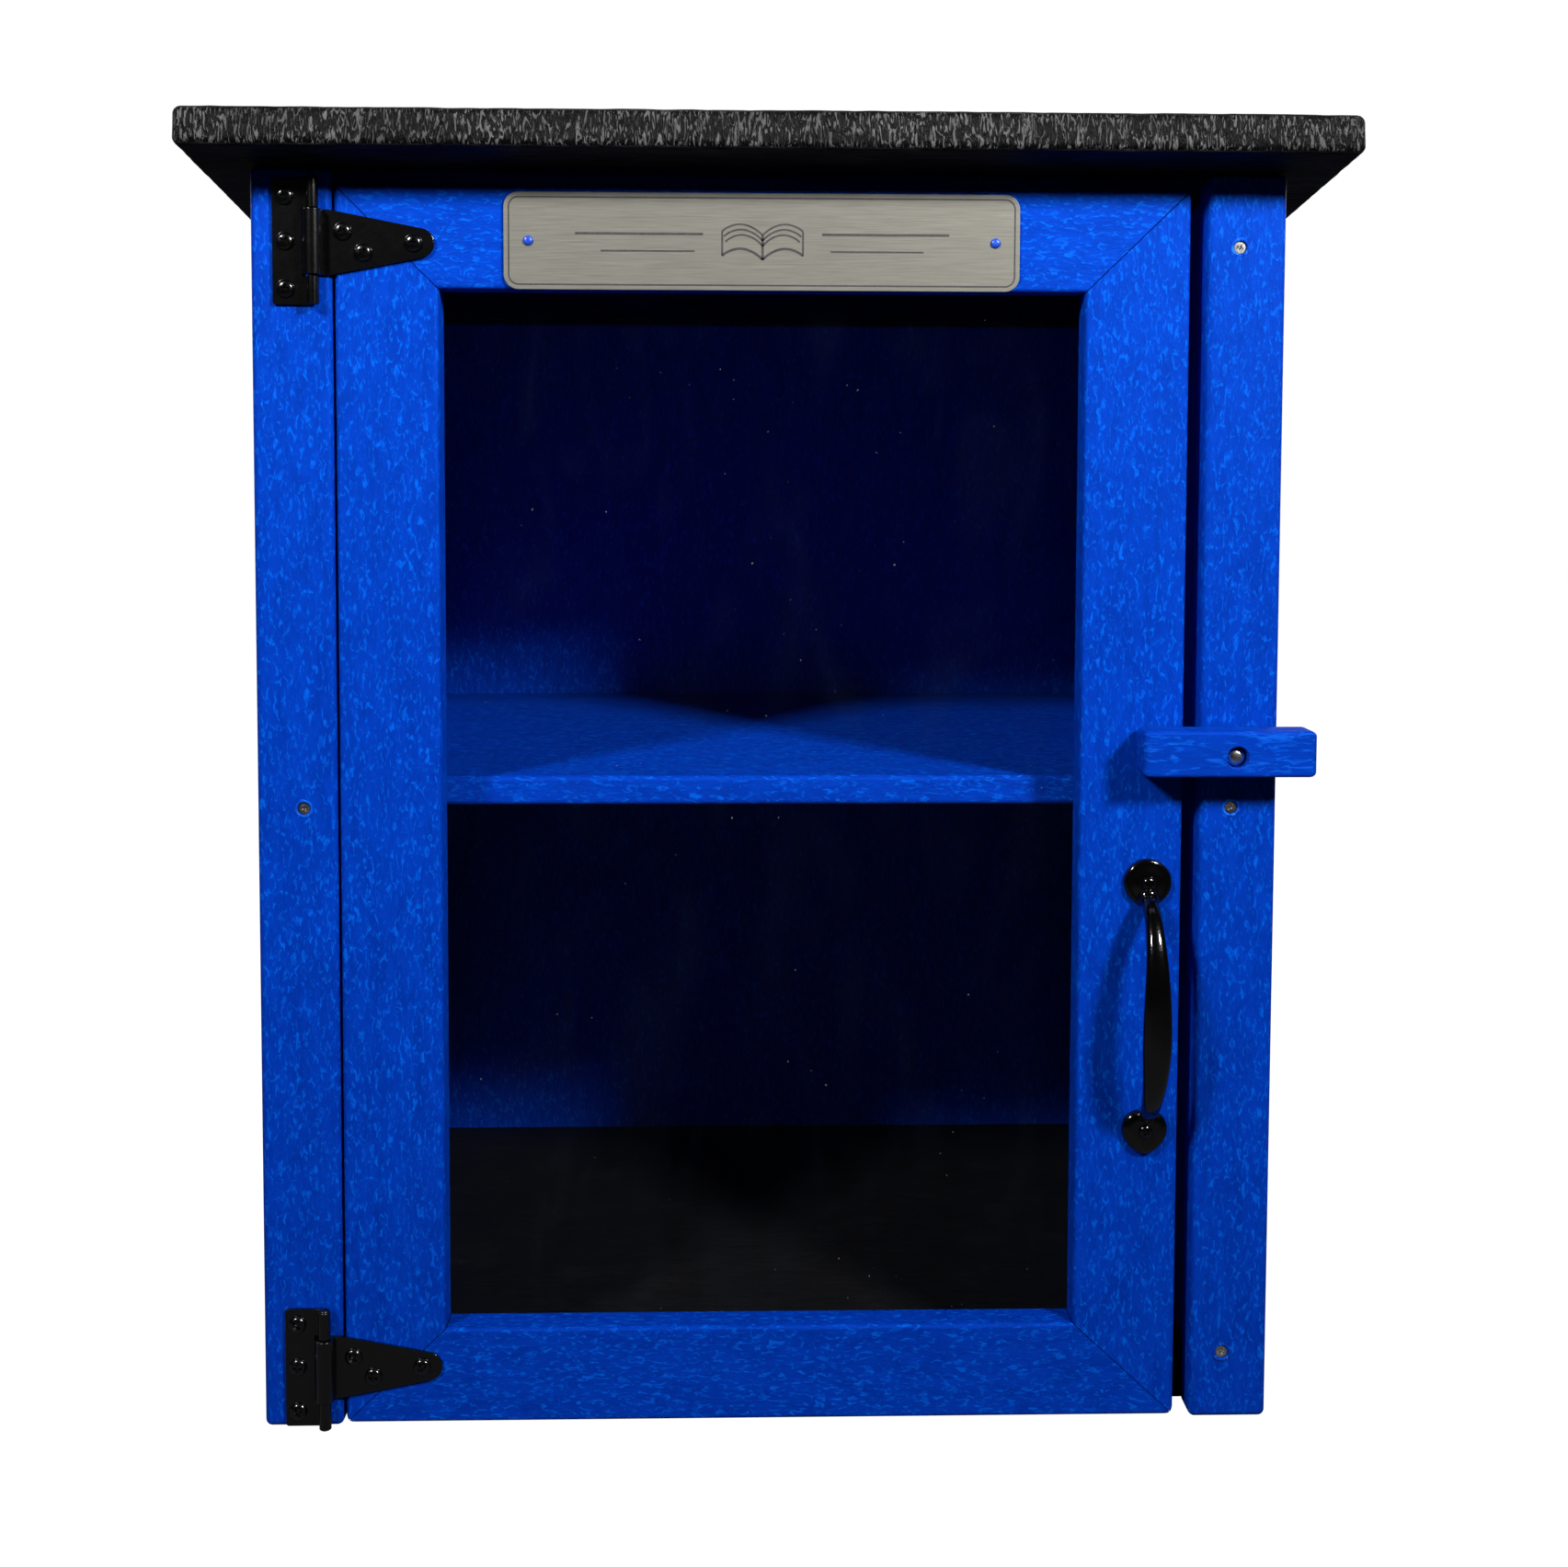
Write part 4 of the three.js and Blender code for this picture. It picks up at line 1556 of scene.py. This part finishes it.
    def build_pin(self) -> None:
        """Makes the pin, with a domed head at its top."""
        low, high = corners(f"{self.name}_hinge_pin")
        half = (self.leaf_high.z - self.leaf_low.z) / 2
        cap = self.pin + 0.9 * MM
        bottom = low.z - self.axis.z
        profile = [(0.0, bottom), (self.pin, bottom + 0.1 * MM), (self.pin, half)]
        profile += [(cap, half + 0.1 * MM), (cap, half + 0.5 * MM)]
        top = high.z - self.axis.z
        dome = half + 0.5 * MM
        steps = 6
        for step in range(1, steps + 1):
            angle = step / steps * math.pi / 2
            profile.append((cap * math.cos(angle), dome + (top - half - 0.5 * MM) * math.sin(angle)))
        pin = turned(f"{self.name}_hinge_pin_look", profile, self.axis, Vector((0, 0, 1)), "cabinet", 28)
        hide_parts(f"{self.name}_hinge_pin")
        PAINT.dress(pin, HINGE_ENAMEL)

    def build(self) -> None:
        """Makes every piece of the hinge."""
        self.build_leaf()
        self.build_strap()
        self.build_pin()
        turn = 17 if self.name == "upper" else 52
        for kind, body in (("leaf", "cabinet"), ("strap", "door")):
            for index, (node, seat) in enumerate(self.seats(kind)):
                Screw(f"{node}_look", body, seat, FRONT, 4.3 * MM, 2.2 * MM, 1.6 * MM, 13 * MM,
                      spin=turn + 33 * index).build(HINGE_ENAMEL, node)
        LOG.info("%s hinge", self.name)


# ------------------------------------------------------------------ pull handle


@dataclass
class PullHandle:
    """Cast pull: round rosette, leaf-shaped foot and a bowed, swelling grip.

    Attributes:
        stations: outlines along the grip, less one.
        around: points in each outline.
    """

    stations: int = 72
    around: int = 28

    def width(self, share: float) -> float:
        """Width of the grip from its foot (0) to its rosette (1)."""
        belly = math.exp(-(((share - 0.42) / (0.36 if share < 0.42 else 0.43)) ** 2))
        return (6.3 + 7.5 * belly) * MM

    def thickness(self, share: float) -> float:
        """Thickness of the grip along its bow."""
        return (7.6 - 1.4 * math.sin(math.pi * share)) * MM

    def path(self, share: float, low: Vector, high: Vector) -> Vector:
        """Centre line of the grip: out from the foot, along, and back to the rosette.

        Args:
            share: from 0 at the foot to 1 at the rosette.
            low: furthest out, at the height of the foot.
            high: on the face, at the height of the rosette.

        Returns:
            The place.
        """
        base = 2 * MM
        proud = (high.y - low.y) - self.thickness(0.5) / 2
        lift = (1 - abs(2 * share - 1) ** 2.6) ** 0.62
        z = low.z + (high.z - low.z) * share
        return Vector((low.x, high.y - base - (proud - base) * lift, z))

    def build_grip(
        self, x: float, y_back: float, y_front: float, foot: float, top: float
    ) -> bpy.types.Object:
        """Makes the grip.

        Args:
            x: place of the handle.
            y_back: the face that it stands on.
            y_front: its furthest point.
            foot: height where it leaves the foot.
            top: height where it meets the rosette.

        Returns:
            The grip's object.
        """
        low, high = Vector((x, y_front, foot)), Vector((x, y_back, top))
        shares = [0.5 - 0.5 * math.cos(math.pi * k / self.stations) for k in range(self.stations + 1)]
        line = [self.path(s, low, high) for s in shares]
        rings = []
        for k, share in enumerate(shares):
            ahead = line[min(k + 1, len(line) - 1)] - line[max(k - 1, 0)]
            ahead.normalize()
            side = Vector((1, 0, 0))
            out = ahead.cross(side).normalized()
            ring = []
            for j in range(self.around):
                angle = 2 * math.pi * j / self.around
                cos, sin = math.cos(angle), math.sin(angle)
                wide = self.width(share) / 2 * math.copysign(abs(cos) ** 0.82, cos)
                deep = self.thickness(share) / 2 * math.copysign(abs(sin) ** 0.82, sin)
                ring.append(tuple(line[k] + side * wide + out * deep))
            rings.append(ring)
        vertices, faces = loft(rings)
        return make_object("grip", vertices, faces, "door")

    def build_foot(self, x: float, z: float, y_back: float, thick: float) -> bpy.types.Object:
        """The foot: two shoulders at the top, drawn to a soft point below.

        Args:
            x: place of its middle.
            z: height of its middle.
            y_back: the face that it stands on.
            thick: how far it stands out.

        Returns:
            The foot's object.
        """
        work = []
        steps = 44
        for k in range(steps):
            angle = 2 * math.pi * k / steps
            px, pz = math.sin(angle), -math.cos(angle)
            point = 1 + 0.12 * max(0, -pz) ** 5
            shoulder = 1 + 0.06 * math.exp(-((abs(px) - 0.75) ** 2) / 0.05) * (pz > 0)
            notch = 1 - 0.12 * math.exp(-(px**2) / 0.12) * (pz > 0)
            work.append((px * 10.9 * MM * shoulder, pz * 10.6 * MM * point * notch))
        rings = []
        crown = ((0, 0), (0, 0.45), (0.03, 0.68), (0.1, 0.86), (0.24, 1.0), (0.45, 1.04), (0.7, 0.98))
        for inset, y in crown:
            share = 1 - inset
            rings.append([(x + px * share, y_back - thick * y, z + pz * share) for px, pz in work])
        vertices, faces = loft(rings)
        return make_object("foot", vertices, faces, "door")

    def build(self) -> None:
        """Makes the handle and its two screws."""
        low, high = corners("pull_handle")
        x = (low.x + high.x) / 2
        spots = {n: middle(f"handle_screw_{n}") for n in ("upper", "lower")}
        back = high.y
        thick = 4 * MM
        radius = high.z - spots["upper"].z
        rosette_profile = [
            (radius, 0.0), (radius, 1.5 * MM), (radius - 0.5 * MM, 2.5 * MM), (radius - 1.4 * MM, 2.95 * MM),
            (radius - 2.4 * MM, 2.8 * MM), (radius - 3.2 * MM, 2.9 * MM), (radius * 0.55, 3.6 * MM),
            (radius * 0.36, thick), (0.0, thick),
        ]
        rosette = turned("pull_handle_look", rosette_profile, Vector((x, back, spots["upper"].z)), FRONT,
                         "door", 56)
        collar_z = spots["upper"].z - radius * 0.62
        collar = turned("collar", [(5.4 * MM, 0.5 * MM), (5.4 * MM, 3.4 * MM), (4.6 * MM, 5.2 * MM),
                                   (3.2 * MM, 6.4 * MM), (0.0, 6.8 * MM)], Vector((x, back, collar_z)), FRONT,
                        "door", 32)
        foot = self.build_foot(x, spots["lower"].z, back, thick)
        grip = self.build_grip(x, back, low.y, spots["lower"].z + 8.0 * MM, spots["upper"].z - radius * 0.66)
        carve(rosette, [foot, collar, grip], "UNION")
        sharpen(rosette, 55)
        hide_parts("pull_handle")
        PAINT.dress(rosette, HANDLE_ENAMEL)
        for index, (name, spot) in enumerate(spots.items()):
            seat = Vector((x, back - thick, spot.z))
            Screw(f"handle_screw_{name}_look", "door", seat, FRONT, 3.4 * MM, 1.8 * MM, 1.6 * MM, 15 * MM,
                  spin=20 + 40 * index).build(HANDLE_ENAMEL, f"handle_screw_{name}")
        LOG.info("pull handle")


# ------------------------------------------------------------------ nameplate


@dataclass
class Nameplate:
    """Brushed plate with round corners, a printed border and a plain open book.

    Attributes:
        corner: radius of the plate's corners.
        line: width of the border; the other lines are a share of it.
    """

    corner: float = 7 * MM
    line: float = 0.75 * MM

    def strip(self, name: str, points: Profile, y: float, width: float, closed: bool = False) -> None:
        """A printed line of even width, a hair proud of the plate.

        Args:
            name: the piece's name.
            points: its middle line, as x, z pairs.
            y: the plate's face.
            width: of the line.
            closed: whether it joins up.
        """
        rings = []
        count = len(points)
        for k, (px, pz) in enumerate(points):
            before = points[k - 1] if closed or k else points[k]
            after = points[(k + 1) % count] if closed or k < count - 1 else points[k]
            along = Vector((after[0] - before[0], 0, after[1] - before[1])).normalized()
            side = Vector((along.z, 0, -along.x)) * width / 2
            lift = Vector((0, -0.06 * MM, 0))
            place = Vector((px, y, pz))
            rings.append([tuple(place + side - lift), tuple(place + side + lift), tuple(place - side + lift),
                          tuple(place - side - lift)])
        vertices, faces = loft(rings, closed=closed)
        piece = make_object(name, vertices, faces, "door")
        turn_outward(piece)
        sharpen(piece, 30)
        PAINT.dress(piece, Ink())

    def book(self, x: float, z: float, size: float, y: float) -> None:
        """An open book of a few curved lines.

        Args:
            x: place of its spine.
            z: height of the spine's top.
            size: width of one page.
            y: the plate's face.
        """
        for side in (-1, 1):
            for number, drop in enumerate((0.0, 0.13, 0.26)):
                reach = size * (1.0 - 0.04 * number)
                page = []
                for k in range(15):
                    t = k / 14
                    rise = size * (0.22 * math.sin(math.pi * t) ** 0.8 + 0.1 * t)
                    page.append((x + side * reach * t, z + rise - size * drop))
                self.strip(f"book_page_{'left' if side < 0 else 'right'}_{number}", page, y, self.line * 1.2)
            edge_x = x + side * size
            self.strip(f"book_edge_{'left' if side < 0 else 'right'}",
                       [(edge_x, z + size * 0.1), (edge_x, z - size * 0.5)], y, self.line * 1.2)
            foot = []
            for k in range(15):
                t = k / 14
                rise = size * (0.22 * math.sin(math.pi * t) ** 0.8 + 0.1 * t)
                foot.append((x + side * size * t, z + rise - size * 0.6))
            self.strip(f"book_foot_{'left' if side < 0 else 'right'}", foot, y, self.line * 1.6)
        self.strip("book_spine", [(x, z), (x, z - size * 0.6)], y, self.line * 1.6)

    def build(self) -> None:
        """Makes the plate, its printed lines and its fasteners."""
        low, high = corners("nameplate")
        centre = (low + high) / 2
        width, height = high.x - low.x, high.z - low.z
        outline = [(centre.x + x, centre.z + z)
                   for x, z in round_rectangle(width, height, self.corner, steps=10)]
        plate = flat_plate("nameplate_look", outline, low.y, high.y, "door", 0.3 * MM)
        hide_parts("nameplate")
        PAINT.dress(plate, BrushedPlate())
        inset = 2.4 * MM
        border = [(centre.x + x, centre.z + z)
                  for x, z in round_rectangle(width, height, self.corner, inset, steps=10)]
        self.strip("nameplate_border", border, low.y, self.line, closed=True)
        self.book(centre.x, centre.z + 3 * MM, 19 * MM, low.y)
        for side in (-1, 1):
            for row, (start, stop) in enumerate(((28, 88), (32, 76))):
                z = centre.z + (3.5 - 8 * row) * MM
                span = [(centre.x + side * start * MM, z), (centre.x + side * stop * MM, z)]
                name = f"nameplate_rule_{'left' if side < 0 else 'right'}_{row + 1}"
                self.strip(name, span, low.y, self.line * (1.6 if row == 0 else 1.1))
        for node in ("nameplate_fastener_left", "nameplate_fastener_right"):
            spot = middle(node)
            seat = Vector((spot.x, low.y, spot.z))
            Screw(f"{node}_look", "door", seat, FRONT, 2.4 * MM, 1.4 * MM, 1.2 * MM, 9 * MM,
                  drive=Drive.NONE).build(BlueCap(), node)
        LOG.info("nameplate")


# ------------------------------------------------------------------ turn button


@dataclass
class TurnButton:
    """The blue block that turns over the door's edge, with its washer and screw.

    Attributes:
        bore: radius of the counterbore.
        bore_depth: depth of the counterbore.
    """

    bore: float = 5.2 * MM
    bore_depth: float = 6 * MM

    def build(self) -> None:
        """Makes the block, the washer and the screw."""
        low, high = corners("latch_block")
        screw = middle("latch_screw")
        board = Board("latch_block", "latch", Run.X, edge=1.8 * MM, end=3.4 * MM, cell=20 * MM)
        lumber = BlueLumber(Run.X, deep=(0.0004, 0.024, 0.27), fleck=(0.003, 0.09, 0.58), fibre=(95, 420))
        block = board.build(lumber)
        seat = Vector((screw.x, low.y, screw.z))
        cutter = turned("latch_counterbore", [(2.8 * MM, -BOARD * 1.2), (2.8 * MM, -self.bore_depth),
                                              (self.bore, -self.bore_depth + 0.01 * MM),
                                              (self.bore, -0.5 * MM), (self.bore + 0.5 * MM, 0.05 * MM),
                                              (self.bore + 0.6 * MM, 1 * MM)], seat, FRONT, "latch", 40)
        carve(block, [cutter])
        sharpen(block, 50)
        washer_low, washer_high = corners("latch_washer")
        thick = washer_high.y - washer_low.y
        outer = (washer_high.x - washer_low.x) / 2
        section = [(2.8 * MM, 0.2 * MM), (3.0 * MM, 0.0), (outer - 0.3 * MM, 0.0), (outer, 0.3 * MM),
                   (outer, thick - 0.3 * MM), (outer - 0.3 * MM, thick), (3.0 * MM, thick),
                   (2.8 * MM, thick - 0.2 * MM)]
        rings = []
        sides = 48
        for k in range(sides):
            angle = 2 * math.pi * k / sides
            rings.append([(screw.x + r * math.cos(angle), washer_high.y - y, screw.z + r * math.sin(angle))
                          for r, y in section])
        vertices, faces = loft(rings, closed=True)
        washer = make_object("latch_washer_look", vertices, faces, "cabinet")
        sharpen(washer, 40)
        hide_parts("latch_washer")
        PAINT.dress(washer, Stainless())
        head_seat = Vector((screw.x, low.y + self.bore_depth, screw.z))
        Screw("latch_screw_look", "cabinet", head_seat, FRONT, 4.6 * MM, 3.2 * MM, 2.5 * MM, 38 * MM,
              drive=Drive.NONE).build(Stainless(), "latch_screw")
        LOG.info("turn button")


# ------------------------------------------------------------------ studio


@dataclass
class Studio:
    """Camera, two lamps in front, two behind, a soft light overhead, and a white floor.

    Attributes:
        eye: the camera's place.
        turn: how far it looks to the right, in degrees.
        dip: how far it looks down.
        roll: how far it leans.
        lens: focal length in millimetres on a 36 mm wide sensor.
        shift: how far the frame is moved down, as a share of its width.
    """

    eye: Point = (-0.0199, -1.1178, 0.4679)
    turn: float = 1.608
    dip: float = 3.45
    roll: float = 0.193
    lens: float = 44.83
    shift: float = -0.1292

    def build_camera(self) -> None:
        """Makes the camera and puts it in use."""
        data = bpy.data.cameras.new("camera")
        data.lens = self.lens
        data.sensor_width = 36
        data.shift_y = self.shift
        data.clip_start = 0.01
        camera = bpy.data.objects.new("camera", data)
        look = Matrix.Rotation(math.radians(-self.turn), 4, "Z") @ Matrix.Rotation(
            math.radians(90 - self.dip), 4, "X"
        )
        look = look @ Matrix.Rotation(math.radians(self.roll), 4, "Z")
        camera.matrix_world = Matrix.Translation(self.eye) @ look
        bpy.context.scene.collection.objects.link(camera)
        bpy.context.scene.camera = camera

    def lamp(
        self, name: str, place: Point, target: Point, size: float, power: float, spread: float = 180
    ) -> None:
        """A square soft light.

        Args:
            name: of the lamp.
            place: of its middle.
            target: what it points at.
            size: of its side.
            power: in watts.
            spread: how wide it shines, in degrees.
        """
        data = bpy.data.lights.new(name, "AREA")
        data.size = size
        data.energy = power
        data.spread = math.radians(spread)
        lamp = bpy.data.objects.new(name, data)
        aim = Vector(target) - Vector(place)
        lamp.matrix_world = Matrix.Translation(place) @ aim.to_track_quat("-Z", "Y").to_matrix().to_4x4()
        bpy.context.scene.collection.objects.link(lamp)

    def build_lamps(self) -> None:
        """Makes the lamps."""
        aside, distance = math.radians(41), 1.6
        x, y = distance * math.sin(aside), -0.19 - distance * math.cos(aside)
        self.lamp("key_right", (x, y, 1.31), (0, -0.19, 0.82), 0.26, 13.4, 80)
        self.lamp("key_left", (-x, y, 1.4), (0, -0.19, 0.84), 0.26, 13.2, 100)
        self.lamp("overhead", (0, 0.4, 3.4), (0, 0.1, 0), 2.6, 9)
        self.lamp("back_right", (2.3, 2.2, 1.5), (0, 0, 0.3), 1.8, 34)
        self.lamp("back_left", (-2.3, 2.2, 1.5), (0, 0, 0.3), 1.8, 26)

    def build_world(self) -> None:
        """White to look at, dim as a light."""
        world = bpy.data.worlds.new("studio")
        bpy.context.scene.world = world
        world.use_nodes = True
        tree = world.node_tree
        tree.nodes.clear()
        output = tree.nodes.new("ShaderNodeOutputWorld")
        mix = tree.nodes.new("ShaderNodeMixShader")
        ray = tree.nodes.new("ShaderNodeLightPath")
        dim, bright = tree.nodes.new("ShaderNodeBackground"), tree.nodes.new("ShaderNodeBackground")
        dim.inputs["Color"].default_value = (0.9, 0.95, 1, 1)
        dim.inputs["Strength"].default_value = 0.014
        bright.inputs["Color"].default_value = (1, 1, 1, 1)
        bright.inputs["Strength"].default_value = 1.02
        tree.links.new(ray.outputs["Is Camera Ray"], mix.inputs[0])
        tree.links.new(dim.outputs[0], mix.inputs[1])
        tree.links.new(bright.outputs[0], mix.inputs[2])
        tree.links.new(mix.outputs[0], output.inputs["Surface"])

    def build_floor(self) -> None:
        """A floor as white to look at as what lies behind it."""
        half = 12.0
        mesh = bpy.data.meshes.new("studio_floor")
        outline = [(-half, -half, 0), (half, -half, 0), (half, half, 0), (-half, half, 0)]
        mesh.from_pydata(outline, [], [[0, 1, 2, 3]])
        floor = bpy.data.objects.new("studio_floor", mesh)
        bpy.context.scene.collection.objects.link(floor)
        floor.location.z = -0.0002
        g = Graph("studio_floor")
        seen = g.node("ShaderNodeBsdfDiffuse", {"Color": (0.2, 0.2, 0.2, 1)})
        glow = g.node("ShaderNodeEmission", {"Color": (1, 1, 1, 1), "Strength": 1.0})
        shown = g.node("ShaderNodeAddShader", {0: seen.outputs[0], 1: glow.outputs[0]})
        bounce = g.node("ShaderNodeBsdfDiffuse", {"Color": (0.09, 0.09, 0.09, 1)})
        ray = g.node("ShaderNodeLightPath")
        mix = g.node("ShaderNodeMixShader", {0: ray.outputs["Is Camera Ray"], 1: bounce.outputs[0],
                                             2: shown.outputs[0]})
        g.tree.links.new(mix.outputs[0], g.output.inputs["Surface"])
        mesh.materials.append(g.material)

    def build(self) -> None:
        """Makes the studio."""
        bpy.context.scene.view_settings.view_transform = "Standard"
        self.build_camera()
        self.build_lamps()
        self.build_world()
        self.build_floor()
        LOG.info("studio")


# ------------------------------------------------------------------ making it


def main() -> None:
    """Builds every sub-assembly in order."""
    logging.basicConfig(level=logging.INFO, format="%(name)s: %(message)s")
    Studio().build()
    Carcass().build()
    Roof().build()
    door = DoorFrame()
    door.build_frame()
    door.build_window()
    for name in ("lower", "upper"):
        Hinge(name).build()
    PullHandle().build()
    Nameplate().build()
    TurnButton().build()


if __name__ == "__main__":
    main()
